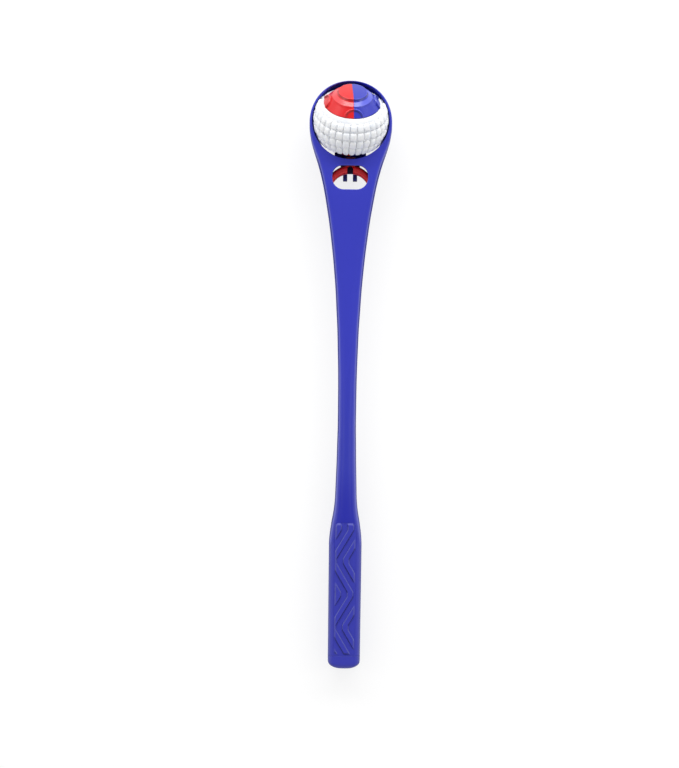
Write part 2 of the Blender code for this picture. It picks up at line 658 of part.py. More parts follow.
def grip_panel(name, front, look):
    """A plate with raised zigzag bars, flush with the handle's face."""
    if front:
        seat, face = HANDLE_THICKNESS - PANEL_BASE - PANEL_RELIEF, HANDLE_THICKNESS
        base_top, bar_low = seat + PANEL_BASE, seat + PANEL_BASE / 2
    else:
        seat, face = PANEL_BASE + PANEL_RELIEF, 0.0
        base_top, bar_low = seat - PANEL_BASE, seat - PANEL_BASE / 2
    panel = prism(name, panel_outline(), min(seat, base_top), max(seat, base_top))
    panel_top = tip_y - cap_from_tip + PANEL_FROM_CAP + PANEL_LENGTH
    turns = zigzag_turns()
    bars = None
    for k in range(-2, 3):
        middle = (k + 0.5) * BAR_PITCH
        path = [(middle + zigzag(t - ZIGZAG_FIRST_VERTEX), panel_top - t) for t in turns]
        outline = [(x - BAR_WIDTH / 2, y) for x, y in path]
        outline += [(x + BAR_WIDTH / 2, y) for x, y in reversed(path)]
        bar = prism("bar", outline, min(bar_low, face), max(bar_low, face))
        if bars is None:
            bars = bar
        else:
            carve(bars, bar, 'UNION')
    limit = prism("limit", panel_outline(-SEAT_GAP), -OVERRUN, HANDLE_THICKNESS + OVERRUN)
    carve(bars, limit, 'INTERSECT')
    carve(panel, bars, 'UNION')
    finish(panel, look)


def lever_half():
    """Half the lever's span, which leaves room beside it for the spring."""
    return body_half_width(tip_y - hinge_y) - NECK_WALL - SPRING_ROOM


def lever_crown():
    """Place of the arch's highest point."""
    return hinge_y - LEVER_OUTER_CENTRE_BELOW_HINGE + lever_half() * LEVER_OUTER_ARC_SHARE


def lever_outline(inset):
    """The arch seen from above: outer arc, straight arms down to the pins, and inner arc."""
    half, arm = lever_half(), lever_half() - LEVER_ARM_WIDTH
    outer, inner = half * LEVER_OUTER_ARC_SHARE - inset, arm * LEVER_INNER_ARC_SHARE + inset
    half, arm = half - inset, arm + inset
    low = hinge_y + inset
    arcs = []
    for reach, radius, drop in ((half, outer, LEVER_OUTER_CENTRE_BELOW_HINGE),
                                (arm, inner, LEVER_INNER_CENTRE_BELOW_HINGE)):
        start = np.arcsin(reach / radius)
        turns = [start - 2 * start * s / LEVER_ARC_STEPS for s in range(LEVER_ARC_STEPS + 1)]
        arcs.append([(radius * sin(turn), hinge_y - drop + radius * cos(turn)) for turn in turns])
    return ([(half, low)] + arcs[0] + [(-half, low), (-arm, low)] + arcs[1][::-1] + [(arm, low)])


def nose_end():
    """Place of the nose's tip, a small gap from the rear dome of the ball."""
    drop = ball_centre.z - nose_top
    return ball_centre.y - sqrt((core_radius + NOSE_BALL_GAP)**2 - drop**2)


def release_lever(look):
    levels = ((LEVER_EDGE_ROUND, lever_bottom), (0, lever_bottom + LEVER_EDGE_ROUND),
              (0, lever_top - LEVER_EDGE_ROUND), (LEVER_EDGE_ROUND, lever_top))
    lever = loft("release_lever", [[(x, y, z) for x, y in lever_outline(inset)] for inset, z in levels])
    half, arm = lever_half(), lever_half() - LEVER_ARM_WIDTH
    for low in (-half, arm):
        high = low + LEVER_ARM_WIDTH
        boss = cylinder("boss", LEVER_BOSS_RADIUS, low, high, 20, along_x(0, hinge_y, hinge_z))
        carve(lever, boss, 'UNION')
    nose_root = lever_crown() - LEVER_EDGE_ROUND
    side, far = NOSE_WIDTH / 2, nose_end()
    carve(lever, box("nose", (-side, nose_root, nose_bottom), (side, far, nose_top)), 'UNION')
    slit = LEVER_SLIT_WIDTH / 2
    slit_top = lever_crown() - LEVER_SLIT_BELOW_CROWN
    slit_outline = rounded([(slit, slit_top, slit / 2), (slit, hinge_y, 0),
                            (-slit, hinge_y, 0), (-slit, slit_top, slit / 2)])
    carve(lever, prism("slit", slit_outline, lever_bottom - OVERRUN, lever_top + OVERRUN))
    reach = half + OVERRUN
    carve(lever, cylinder("pin_bore", pin_hole_radius, -reach, reach, 16, along_x(0, hinge_y, hinge_z)))
    set_origin(lever, (0, hinge_y, hinge_z))
    finish(lever, look)


def pin_span():
    """Where a pin runs, from inside the lever's arm to its socket in the shells."""
    outer = body_half_width(tip_y - hinge_y) - NECK_WALL + PIN_IN_WALL
    return lever_half() - LEVER_ARM_WIDTH, outer


def lever_pins(look):
    start, end = pin_span()
    for name, low, high in (("lever_pin_left", -end, -start), ("lever_pin_right", start, end)):
        pin = cylinder(name, PIN_DIAMETER / 2, low, high, 16, along_x(0, hinge_y, hinge_z))
        finish(pin, look)


def lever_spring(look):
    """Coil round the left pin: one leg hooks under the lever's arm, the other stands on the rear shell."""
    mean = PIN_DIAMETER / 2 + SPRING_SLACK + SPRING_WIRE / 2
    per_turn = 12
    steps = round(SPRING_TURNS * per_turn)
    start_x = -lever_half() - SEAT_GAP - SPRING_WIRE / 2
    floor = neck_back + NECK_WALL + SEAT_GAP - hinge_z
    coil = [(start_x - SPRING_PITCH * s / per_turn, -mean * sin(2 * pi * s / per_turn),
             -mean * cos(2 * pi * s / per_turn)) for s in range(steps + 1)]
    hook = [(start_x + SPRING_HOOK, SPRING_LEG, -mean), (start_x, SPRING_LEG, -mean)]
    points = hook + coil + [(coil[-1][0], coil[-1][1], floor)]
    curve = bpy.data.curves.new("spring_path", 'CURVE')
    curve.dimensions = '3D'
    curve.bevel_depth = SPRING_WIRE / 2
    curve.bevel_resolution = 1
    curve.use_fill_caps = True
    line = curve.splines.new('POLY')
    line.points.add(len(points) - 1)
    for point, place in zip(line.points, points):
        point.co = (place[0], place[1], place[2], 1)
    path = bpy.data.objects.new("spring_path", curve)
    bpy.context.scene.collection.objects.link(path)
    bpy.context.view_layer.update()
    mesh = bpy.data.meshes.new_from_object(path.evaluated_get(bpy.context.evaluated_depsgraph_get()))
    bpy.data.objects.remove(path)
    spring = bpy.data.objects.new("lever_spring", mesh)
    bpy.context.scene.collection.objects.link(spring)
    spring.location = (0, hinge_y, hinge_z)
    coil = np.array(coil)
    gaps = [np.linalg.norm(coil[i] - coil[i + per_turn]) for i in range(len(coil) - per_turn)]
    print("least gap in the lever's spring, mm:", round((min(gaps) - SPRING_WIRE) * 1000, 3))
    finish(spring, look)


def shell_screws(look):
    """Four equal screws, each with a square-drive recess in its head."""
    head, shank = SCREW_HEAD_DIAMETER / 2, SCREW_SHANK_DIAMETER / 2
    profile = [(0, -SCREW_HEAD_HEIGHT), (head * SCREW_CROWN_SHARE, -SCREW_HEAD_HEIGHT),
               (head, -SCREW_HEAD_HEIGHT / 2), (head, 0), (shank, 0),
               (shank, SCREW_LENGTH - shank), (0, SCREW_LENGTH)]
    screw = revolve("shell_screw_1", profile, 12)
    half = SCREW_SOCKET_WIDTH / 2
    carve(screw, box("socket", (-half, -half, -SCREW_HEAD_HEIGHT - OVERRUN),
                     (half, half, SCREW_SOCKET_DEPTH - SCREW_HEAD_HEIGHT)))
    finish(screw, look)
    for number, from_tip in enumerate(screw_places(), 1):
        if number > 1:
            screw = bpy.data.objects.new(f"shell_screw_{number}", screw.data)
            bpy.context.scene.collection.objects.link(screw)
        screw.location = (0, tip_y - from_tip, screw_seat(from_tip))


def dome_profile():
    """Half section of the core from pole to pole: on each dome a raised disc, a shelf and a flank."""
    soft = DOME_EDGE_ROUND
    seat_radius = core_radius - BELT_SEAT_DEPTH
    disc, disc_top = [share * core_radius for share in DOME_DISC_SHARES]
    foot, foot_top = [share * core_radius for share in DOME_FOOT_SHARES]
    shelf, shelf_top = [share * core_radius for share in DOME_SHELF_SHARES]
    dome = [(0, disc_top), (disc - soft, disc_top), (disc, disc_top - soft), (foot, foot_top),
            (shelf - soft, shelf_top), (shelf, shelf_top - soft / 2),
            (shelf + soft, shelf_top - DOME_SHELF_RISE - soft)]
    start = np.degrees(np.arcsin(dome[-1][1] / core_radius))
    step = BELT_LATITUDE + np.degrees(SEAT_GAP / core_radius)
    flank = [start + (step - start) * share for share in (1 / 3, 2 / 3, 1)]
    dome += [(core_radius * cos(radians(lat)), core_radius * sin(radians(lat))) for lat in flank]
    band = [step * share for share in (1, 0.6, 0.2)]
    dome += [(seat_radius * cos(radians(lat)), seat_radius * sin(radians(lat))) for lat in band]
    return dome + [(radius, -height) for radius, height in reversed(dome)]


def boss_profile():
    """A round boss with a raised rim round a flat floor, standing on the core's flank."""
    boss = DOME_BOSS_SHARE * core_radius
    rim = boss - DOME_BOSS_RIM
    top, floor = core_radius + DOME_BOSS_RISE, core_radius + DOME_BOSS_FLOOR
    root = core_radius - CORE_WALL / 2
    return [(0, floor), (rim, floor), (rim + DOME_BOSS_RIM / 3, top),
            (boss, top - DOME_BOSS_FLOOR), (boss, root), (0, root)]


def outside_belt(hemisphere):
    """The cone-shaped space above or below the belt, seen from the ball's centre."""
    latitude = radians(BELT_LATITUDE) + 2 * SEAT_GAP / core_radius
    reach = 2 * core_radius
    mouth, far = reach * cos(latitude), hemisphere * reach
    return revolve("cone", [(0, 0), (mouth, far * sin(latitude)), (mouth, far), (0, far)], CORE_STEPS)


def core_halves(red_look, blue_look):
    """The core is split through its poles into a red and a blue half, each a half shell."""
    core = revolve("core", dome_profile(), CORE_STEPS)
    for hemisphere in (1, -1):
        for quarter in range(4):
            tilt = pi / 2 - hemisphere * radians(BELT_LATITUDE)
            direction = Matrix.Rotation(quarter * pi / 2, 4, 'Z') @ Matrix.Rotation(tilt, 4, 'X')
            boss = revolve("boss", boss_profile(), BOSS_STEPS, direction)
            carve(boss, outside_belt(hemisphere), 'INTERSECT')
            carve(core, boss, 'UNION')
    blue = copy_of(core, "ball_core_blue")
    core.name = "ball_core_red"
    hollow_radius = core_radius - CORE_WALL
    hollow = [(hollow_radius * cos(radians(lat)), hollow_radius * sin(radians(lat)))
              for lat in (90, 60, 30, 0, -30, -60, -90)]
    hollow[0], hollow[-1] = (0, hollow_radius), (0, -hollow_radius)
    reach = core_radius + OVERRUN
    sides = ((core, red_look, -SEAT_GAP / 2, reach), (blue, blue_look, -reach, SEAT_GAP / 2))
    for half, look, low, high in sides:
        carve(half, box("other_half", (low, -reach, -reach), (high, reach, reach)))
        carve(half, revolve("hollow", hollow, HOLLOW_STEPS))
        half.data.transform(ball_matrix)
        set_origin(half, ball_centre)
        finish(half, look)


def belt_rings():
    """Latitudes and radii of the belt's outer face, each on a knob's place and in the groove beside it."""
    floor, top, lip = belt_inner + BELT_FLOOR_HEIGHT, ball_radius, core_radius + BELT_LIP_HEIGHT
    half = KNOB_GROOVE_DEGREES / 2
    rings = [(BELT_LATITUDE, core_radius, core_radius), (BELT_LATITUDE - half, lip, lip),
             (KNOB_ROW_LATITUDES[0] + half, lip, lip)]
    for high, low in zip(KNOB_ROW_LATITUDES, KNOB_ROW_LATITUDES[1:]):
        rings += [(high, floor, floor), (high - half, top, floor), (low + half, top, floor)]
    rings.append((-BELT_LATITUDE, floor, floor))
    return rings


def ball_belt(look):
    """Tread belt: a smooth lip along its upper edge, then rows of knobs between V-shaped grooves."""
    column = 360 / KNOB_COLUMNS
    half = KNOB_GROOVE_DEGREES / 2
    lines = []
    for c in range(KNOB_COLUMNS):
        start = 270 + (c - 0.5) * column
        lines += [(start, False), (start + half, True), (start + column - half, True)]
    rows = [[(radius if on_knob else floor, latitude, longitude) for longitude, on_knob in lines]
            for latitude, radius, floor in belt_rings()]
    inner_latitudes = [BELT_LATITUDE * share for share in (-1, -0.5, 0, 0.5, 1)]
    rows += [[(belt_inner, latitude, longitude) for longitude, on_knob in lines]
             for latitude in inner_latitudes]
    points = []
    for row in rows:
        for radius, latitude, longitude in row:
            lat, lon = radians(latitude), radians(longitude)
            points.append((radius * cos(lat) * cos(lon), radius * cos(lat) * sin(lon), radius * sin(lat)))
    count = len(lines)
    faces = []
    for r in range(len(rows)):
        there = (r + 1) % len(rows)
        faces += [(r * count + i, r * count + (i + 1) % count,
                   there * count + (i + 1) % count, there * count + i) for i in range(count)]
    belt = add_object("ball_belt", points, faces, ball_matrix)
    set_origin(belt, ball_centre)
    finish(belt, look, 20.0)


def main():
    for old in list(bpy.data.objects):
        bpy.data.objects.remove(old)
    body_blue = material("body_blue", (0.045, 0.050, 0.42), 0.38)
    grip_blue = material("grip_blue", (0.040, 0.046, 0.36), 0.55)
    lever_red = material("lever_red", (0.52, 0.03, 0.04), 0.25)
    steel = material("steel", (0.55, 0.56, 0.58), 0.3, 1.0)
    belt_white = material("belt_white", (0.80, 0.83, 0.88), 0.45)
    core_red = material("core_red", (0.72, 0.03, 0.04), 0.3)
    core_blue = material("core_blue", (0.04, 0.05, 0.55), 0.3)
    shells(body_blue)
    end_cap(body_blue)
    grip_panel("grip_panel_front", True, grip_blue)
    grip_panel("grip_panel_rear", False, grip_blue)
    release_lever(lever_red)
    lever_pins(steel)
    lever_spring(steel)
    shell_screws(steel)
    core_halves(core_red, core_blue)
    ball_belt(belt_white)


main()
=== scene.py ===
# Dog ball thrower, dressed for the render: shells, lever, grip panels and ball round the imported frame
import bpy
import bmesh
import numpy as np
from math import asin, atan2, cos, degrees, pi, radians, sin, sqrt
from mathutils import Matrix, Vector


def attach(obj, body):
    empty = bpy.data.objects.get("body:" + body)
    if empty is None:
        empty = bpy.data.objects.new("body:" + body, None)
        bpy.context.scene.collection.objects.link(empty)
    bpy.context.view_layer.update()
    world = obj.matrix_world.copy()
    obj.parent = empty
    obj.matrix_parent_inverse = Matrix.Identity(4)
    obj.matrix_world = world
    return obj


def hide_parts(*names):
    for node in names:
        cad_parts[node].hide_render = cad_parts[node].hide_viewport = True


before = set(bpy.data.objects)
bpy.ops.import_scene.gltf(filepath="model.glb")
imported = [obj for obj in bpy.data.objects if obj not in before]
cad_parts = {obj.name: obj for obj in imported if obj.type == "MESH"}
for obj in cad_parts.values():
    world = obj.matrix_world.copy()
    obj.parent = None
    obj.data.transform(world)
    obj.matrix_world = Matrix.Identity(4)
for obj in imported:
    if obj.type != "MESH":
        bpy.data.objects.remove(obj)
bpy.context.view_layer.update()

# the wand's outline, read from its tip towards the handle
wand = {
    "length": 0.4965, "ballDiameter": 0.0635, "cupClearance": 0.00075, "cupWall": 0.0022, "cupMouth": 0.0006,
    "rimAboveEquator": 0.0031, "cupOffset": 0.0016, "footTrim": 0.0010, "cupCurve": 2.3, "hoopCurve": 2.10,
    "waistWidth": 0.0155, "waistThickness": 0.0140, "waistHeight": 0.0123, "waistShare": 0.5813,
    "handleWidth": 0.0280, "handleEndWidth": 0.0275, "handleThickness": 0.0265, "handleShare": 0.7893,
    "capLength": 0.0120, "neckDepth": 0.0196, "neckWall": 0.0026, "partingBelowRim": 0.0098,
    "hollowFromCupMiddle": 0.0268, "tongueBelowCup": 0.0100, "rearCutBelowParting": 0.0020,
    "rimRound": 0.0007, "neckRound": 0.0021, "handleRound": 0.0052,
    "hoopDraft": 0.00025, "neckDraft": 0.0011, "handleDraft": 0.0003,   # how far the face stands in from the side
    "crown": 0.0007, "crownBefore": 0.006, "crownAfter": 0.030,   # the face falls to its edges, from the window on
}
neckWidths = ((0, 1), (0.024, 0.9944), (0.0437, 0.9696), (0.0638, 0.937), (0.0839, 0.8846), (0.1036, 0.8234),
              (0.1434, 0.6991), (0.1835, 0.5963), (0.2233, 0.5158), (0.2631, 0.4488), (0.3218, 0.3583),
              (0.388, 0.2755), (0.4411, 0.2169), (0.4943, 0.1688), (0.5538, 0.1224), (0.6203, 0.0857),
              (0.6869, 0.0505), (0.7538, 0.0299), (0.8208, 0.0115), (0.8877, 0.0033), (1, 0))
neckFronts = ((0, 1), (0.16, 1), (0.22, 0.95), (0.32, 0.76), (0.42, 0.54), (0.52, 0.35), (0.62, 0.21),
              (0.72, 0.11), (0.86, 0.03), (1, 0))
neckBacks = ((0, 1), (0.18, 1), (0.3, 0.78), (0.5, 0.42), (0.75, 0.13), (1, 0))
handleSwells = ((0, 0), (0.154, 0.048), (0.304, 0.092), (0.403, 0.142), (0.503, 0.193), (0.603, 0.245),
                (0.654, 0.302), (0.703, 0.386), (0.754, 0.51), (0.803, 0.661), (0.854, 0.784),
                (0.903, 0.8975), (0.954, 0.9725), (1, 1))
handleBacks = ((0, 0), (0.15, 0.06), (0.30, 0.16), (0.45, 0.34), (0.55, 0.55), (0.65, 0.80), (0.74, 0.96),
               (0.8, 1), (1, 1))
gap = 0.0003       # running gap between pieces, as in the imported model
seam = 0.00008     # what shows of it where two pieces meet flush
overrun = 0.004

ballRadius = wand["ballDiameter"] / 2
cupRadius = ballRadius + wand["cupClearance"]
hoopRadius = cupRadius + wand["cupWall"]
equator = hoopRadius
rimHeight = equator + wand["rimAboveEquator"]
neckBack = rimHeight - wand["neckDepth"]
neckParting = rimHeight - wand["partingBelowRim"]
tipY = wand["length"] / 2
cupY = tipY - hoopRadius + wand["cupOffset"]
waistFromTip = wand["waistShare"] * wand["length"]
handleFromTip = wand["handleShare"] * wand["length"]
capFromTip = wand["length"] - wand["capLength"]
waistFront = wand["waistHeight"] + wand["waistThickness"]

window = {"width": 0.0300, "length": 0.0200, "bridge": 0.0053, "topCorner": 0.0086, "bottomCorner": 0.0096,
          "round": 0.0007, "rearMargin": 0.0008, "cavityBelow": 0.0070, "hingeBelowTop": 0.0159}
windowTop = cupY - cupRadius - window["bridge"]
windowBottom = windowTop - window["length"]
tongueEnd = cupY - cupRadius - wand["tongueBelowCup"]
rearCutTop = neckParting - wand["rearCutBelowParting"]
hingeY = windowTop - window["hingeBelowTop"]
hingeZ = neckParting


def eased(table, share):
    # monotone curve through pairs of (share, value)
    xs = [pair[0] for pair in table]
    ys = [pair[1] for pair in table]
    if share <= xs[0] or share >= xs[-1]:
        return ys[0] if share <= xs[0] else ys[-1]
    rises = [(ys[i + 1] - ys[i]) / (xs[i + 1] - xs[i]) for i in range(len(xs) - 1)]
    slopes = [0.0] + [0.0 if a * b <= 0 else 2 * a * b / (a + b) for a, b in zip(rises, rises[1:])] + [0.0]
    i = max(k for k in range(len(xs) - 1) if xs[k] <= share)
    run = xs[i + 1] - xs[i]
    t = (share - xs[i]) / run
    return ((2 * t**3 - 3 * t**2 + 1) * ys[i] + (t**3 - 2 * t**2 + t) * run * slopes[i]
            + (3 * t**2 - 2 * t**3) * ys[i + 1] + (t**3 - t**2) * run * slopes[i + 1])


def smoothStep(low, high, value):
    t = min(max((value - low) / (high - low), 0.0), 1.0)
    return t * t * (3 - 2 * t)


# shader and geometry maths: one class wraps a socket, and arithmetic on it adds Math nodes
class Wire:
    def __init__(self, graph, socket):
        self.graph, self.socket = graph, socket

    def maths(self, operation, *values):
        return self.graph.add("ShaderNodeMath", dict(enumerate((self,) + values)), {"operation": operation})

    def __add__(self, other):
        return self.maths('ADD', other)

    def __radd__(self, other):
        return self.maths('ADD', other)

    def __sub__(self, other):
        return self.maths('SUBTRACT', other)

    def __rsub__(self, other):
        return self.graph.number(other).maths('SUBTRACT', self)

    def __mul__(self, other):
        return self.maths('MULTIPLY', other)

    def __truediv__(self, other):
        return self.maths('DIVIDE', other)

    def __pow__(self, other):
        return self.maths('POWER', other)

    def __abs__(self):
        return self.maths('ABSOLUTE')

    def atLeast(self, other):
        return self.maths('MAXIMUM', other)

    def atMost(self, other):
        return self.maths('MINIMUM', other)

    def parts(self):
        return [self.graph.add("ShaderNodeSeparateXYZ", {0: self}, output=i) for i in range(3)]

    def step(self, low, high):
        # smooth 0..1 ramp between two values
        return self.graph.add("ShaderNodeMapRange", {0: self, 1: low, 2: high, 3: 0.0, 4: 1.0},
                              {"interpolation_type": 'SMOOTHSTEP'})


class Graph:
    def __init__(self, tree):
        self.tree = tree

    def number(self, value):
        made = self.tree.nodes.new("ShaderNodeValue")
        made.outputs[0].default_value = value
        return Wire(self, made.outputs[0])

    def add(self, kind, sockets=None, settings=None, output=0):
        # any node: its settings first, then the values or links of its sockets
        made = self.tree.nodes.new(kind)
        for name, value in (settings or {}).items():
            setattr(made, name, value)
        for key, value in (sockets or {}).items():
            if isinstance(value, Wire):
                self.tree.links.new(value.socket, made.inputs[key])
            else:
                made.inputs[key].default_value = value
        return Wire(self, made.outputs[output])

    def mix(self, factor, first, second):
        return self.add("ShaderNodeMix", {0: factor, 6: first, 7: second}, {"data_type": 'RGBA'}, 2)

    def noise(self, place, scale, detail):
        return self.add("ShaderNodeTexNoise", {"Vector": place, "Scale": scale, "Detail": detail})

    def point(self, x, y, z):
        return self.add("ShaderNodeCombineXYZ", {0: x, 1: y, 2: z})


def finish(name, constants):
    # a new material with its fixed numbers set on the shader's own sockets
    made = bpy.data.materials.new(name)
    made.use_nodes = True
    shader = made.node_tree.nodes["Principled BSDF"]
    for key, value in constants.items():
        shader.inputs[key].default_value = value
    graph = Graph(made.node_tree)
    return made, graph, shader


def feed(graph, shader, key, wire):
    graph.tree.links.new(wire.socket, shader.inputs[key])


def feedBump(graph, shader, bump, height):
    # a bump is a pair of strength and distance
    values = {"Strength": bump[0], "Distance": bump[1], "Height": height}
    feed(graph, shader, "Normal", graph.add("ShaderNodeBump", values))


def colour(rgb, shade=1.0):
    return tuple(part * shade for part in rgb) + (1.0,)


black = (0.0, 0.0, 0.0, 1.0)

# moulded plastic of the wand: satin, duller and a little greyer on the handle
plastic = {
    "face": (0.030, 0.037, 0.428), "shaft": (0.028, 0.036, 0.375), "shaftEnd": (0.015, 0.019, 0.345),
    "handle": (0.030, 0.035, 0.375), "cup": (0.055, 0.062, 0.620),   # painted light: the cup's inner wall is painted lighter, standing in for light from the ball
    "edge": (0.088, 0.098, 0.345), "line": (0.130, 0.142, 0.540),    # painted highlights where handle and face round away
    "roughness": 0.36, "handleRoughness": 0.48, "roughnessSpread": 0.10, "specular": 0.40,
    "cloudScale": 16.0, "fleckScale": 420.0, "cloud": 0.35, "fleck": 0.16, "faceSpread": 0.10, "handleSpread": 0.14,
    "grainScale": 2600.0, "grain": 0.035, "handleGrain": 0.10, "bump": (0.5, 0.0004),
    # painted shade: how much darker the side walls, the neck's inside, its slot and the bars' lower flanks are
    # painted
    "wall": 0.40, "lessOnHandle": 0.7, "inside": 0.22, "slot": 0.78, "barShadow": 0.72,
    "shaftShare": 0.9, "paintedHighlightShare": 0.8, "lineShare": 0.85,
}
# where these begin and end: along the wand, across it, in height, and by how level the surface lies
zones = {
    "handle": (-0.137, -0.145), "shaft": (0.040, -0.070), "shaftEnd": (-0.070, -0.115),
    "wandEnd": (-0.2445, -0.2475), "neckSides": (0.0168, 0.0160), "neckLow": (0.145, 0.150),
    "neckHigh": (0.184, 0.182), "neckBack": (0.0195, 0.0205), "neckFront": (0.0350, 0.0335),
    "slotSoft": 0.0006, "rimSoft": 0.001, "cupOutside": (1.02, 1.09), "turnedAway": (0.62, 0.90),
    "dull": (0.85, 0.55), "wall": (0.50, 0.15), "paintedHighlight": ((0.92, 0.40), (0.02, 0.25)), "barFlank": (0.06, -0.14),
    "barShadow": (0.95, 0.70), "barHighlight": (0.95, 0.65), "line": ((0.86, 0.58), (0.20, 0.38)),
}


def plasticLook(name, onHandle):
    look, graph, shader = finish(name, {"Specular IOR Level": plastic["specular"]})
    place = graph.add("ShaderNodeTexCoord", output="Object")
    across, along, height = place.parts()
    normal = graph.add("ShaderNodeTexCoord", output="Normal").parts()
    level = abs(normal[2])
    handle = graph.number(1.0) if onHandle else along.step(*zones["handle"])
    atEnd = along.step(*zones["wandEnd"])
    cloud = graph.noise(place, plastic["cloudScale"], 3.0)
    fleck = graph.noise(place, plastic["fleckScale"], 2.0)
    tone = (cloud - 0.5) * plastic["cloud"] + (fleck - 0.5) * plastic["fleck"] + 0.5
    tone = tone.atLeast(0.0).atMost(1.0)
    face, grip = [graph.mix(tone, colour(plastic[part], 1 - spread), colour(plastic[part], 1 + spread))
                  for part, spread in (("face", plastic["faceSpread"]), ("handle", plastic["handleSpread"]))]
    for part in ("shaft", "shaftEnd"):   # the shaft grows a little deeper towards the handle
        face = graph.mix(along.step(*zones[part]) * plastic["shaftShare"], face, colour(plastic[part]))
    # outside the cup's own curve, inside it, and in the neck's hollow with the slot behind the cup
    fromCup = ((across * across + (along - cupY) * (along - cupY)) ** 0.5) / cupRadius
    belowEquator = (equator - height).atLeast(0.0) / cupRadius
    outside = (fromCup ** wand["cupCurve"] + belowEquator ** wand["cupCurve"]).step(*zones["cupOutside"])
    inCup = (1 - outside) * height.step(rimHeight, rimHeight - zones["rimSoft"])
    inNeck = (abs(across).step(*zones["neckSides"]) * along.step(*zones["neckLow"]) * along.step(*zones["neckHigh"])
              * height.step(*zones["neckBack"]) * height.step(*zones["neckFront"]))
    inSlot = along.step(tongueEnd - zones["slotSoft"], tongueEnd)
    # painted shade: side walls outside the cup, the neck's hollow and its slot turn darker
    wall = level.step(*zones["wall"]) * (1 - handle * plastic["lessOnHandle"]).atLeast(atEnd) * outside
    inside = inNeck * (inSlot * (plastic["slot"] - plastic["inside"]) + plastic["inside"])
    light = (1 - wall * plastic["wall"]) * (1 - inside)
    if onHandle:   # painted shade on the bars' lower flanks, painted highlight on their upper ones
        lowerFlank = normal[1].step(*zones["barFlank"])
        light = light * (1 - level.step(*zones["barShadow"]) * lowerFlank * plastic["barShadow"])
        paintedHighlight = level.step(*zones["barHighlight"]) * (1 - lowerFlank)
    else:
        # painted highlight on the handle's rounded edges
        start, end = zones["paintedHighlight"]
        paintedHighlight = level.step(*start) * level.step(*end) * handle * (1 - atEnd) * plastic["paintedHighlightShare"]
    # painted highlight on the face's rounded edges
    start, end = zones["line"]
    line = level.step(*start) * level.step(*end) * (1 - handle) * plastic["lineShare"]
    flat = graph.mix(paintedHighlight, graph.mix(handle, face, grip), colour(plastic["edge"]))
    flat = graph.mix(line * outside, flat, colour(plastic["line"]))
    # painted light: inside the cup the colour turns lighter
    flat = graph.mix(inCup, flat, colour(plastic["cup"]))
    feed(graph, shader, "Base Color", graph.mix(1 - light, flat, black))
    # side walls that turn away are dull, so that they catch no glare
    facing = graph.add("ShaderNodeLayerWeight", {"Blend": 0.5}, output="Facing")
    dull = facing.step(*zones["turnedAway"]) * level.step(*zones["dull"]) * outside
    rough = (handle * (plastic["handleRoughness"] - plastic["roughness"]) + plastic["roughness"]
             + (fleck - 0.5) * plastic["roughnessSpread"])
    feed(graph, shader, "Roughness", rough + dull * (1 - rough))
    grain = graph.noise(place, plastic["grainScale"], 2.0)
    bumps = (grain - 0.5) * (handle * (plastic["handleGrain"] - plastic["grain"]) + plastic["grain"])
    feedBump(graph, shader, plastic["bump"], bumps)
    return look


# glossy mouldings; each is shaded from a place along the wand, the domes by the hoop, the lever's nose by the cup
# rim and rimShare set the painted highlight, wall and wallShare the painted shade on the domes
gloss = {"coatRoughness": 0.12, "cloudScale": 60.0, "fineScale": 260.0, "shadeHeight": (0.0465, 0.0405),
         "rim": ((0.980, 0.940), (0.78, 0.86)), "rimShare": 0.50, "wall": (0.62, 0.35), "wallShare": 0.42,
         "tone": (0.9, 0.7), "roughnessSpread": 0.08, "bump": (0.15, 0.0002), "wave": 0.10}
domeFinish = {"roughness": 0.30, "coat": 0.25, "shade": (0.2400, 0.2455), "shaded": 0.45}
# each dome's edge colour is its painted highlight
domeRed = {**domeFinish, "colour": (0.69, 0.005, 0.009), "deep": (0.54, 0.004, 0.007), "edge": (0.86, 0.110, 0.125)}
domeBlue = {**domeFinish, "colour": (0.022, 0.033, 0.45), "deep": (0.015, 0.022, 0.35),
            "edge": (0.150, 0.175, 0.800)}
leverRed = {"colour": (0.86, 0.014, 0.022), "deep": (0.66, 0.010, 0.016), "roughness": 0.24, "coat": 0.3,
            "shade": (0.1765, 0.1790), "shaded": 0.85}


def glossLook(name, values, axis=None):
    look, graph, shader = finish(name, {"Coat Weight": values["coat"], "Coat Roughness": gloss["coatRoughness"]})
    place = graph.add("ShaderNodeTexCoord", output="Object")
    cloud = graph.noise(place, gloss["cloudScale"], 3.0)
    fine = graph.noise(place, gloss["fineScale"], 2.0)
    spread, middle = gloss["tone"]
    tone = ((cloud - 0.5) * spread + middle).atLeast(0.0).atMost(1.0)
    paint = graph.mix(tone, colour(values["deep"]), colour(values["colour"]))
    across, along, height = place.parts()
    dark = along.step(*values["shade"]) * height.step(*gloss["shadeHeight"]) * values["shaded"]
    if axis is not None:   # painted shade on a dome's step walls, painted highlight on its rounded edges
        normal = graph.add("ShaderNodeTexCoord", output="Normal").parts()
        level = abs(sum(part * share for part, share in zip(normal, axis)))
        start, end = gloss["rim"]
        paint = graph.mix(level.step(*start) * level.step(*end) * gloss["rimShare"], paint, colour(values["edge"]))
        dark = dark.atLeast(level.step(*gloss["wall"]) * gloss["wallShare"])
    feed(graph, shader, "Base Color", graph.mix(dark, paint, black))
    feed(graph, shader, "Roughness", (fine - 0.5) * gloss["roughnessSpread"] + values["roughness"])
    feedBump(graph, shader, gloss["bump"], (fine - 0.5) * gloss["wave"])
    return look


rubber = {"colour": (0.89, 0.90, 0.92), "groove": (0.836, 0.858, 0.902), "roughness": 0.52, "specular": 0.35,
          "cloudScale": 90.0, "grainScale": 1900.0, "cloud": 0.7, "tone": (0.30, 0.55), "roughnessSpread": 0.16,
          "bump": (0.4, 0.0003), "grain": 0.25, "soft": 0.35, "softDepth": 0.0015, "softTint": (1.0, 0.95, 0.9)}


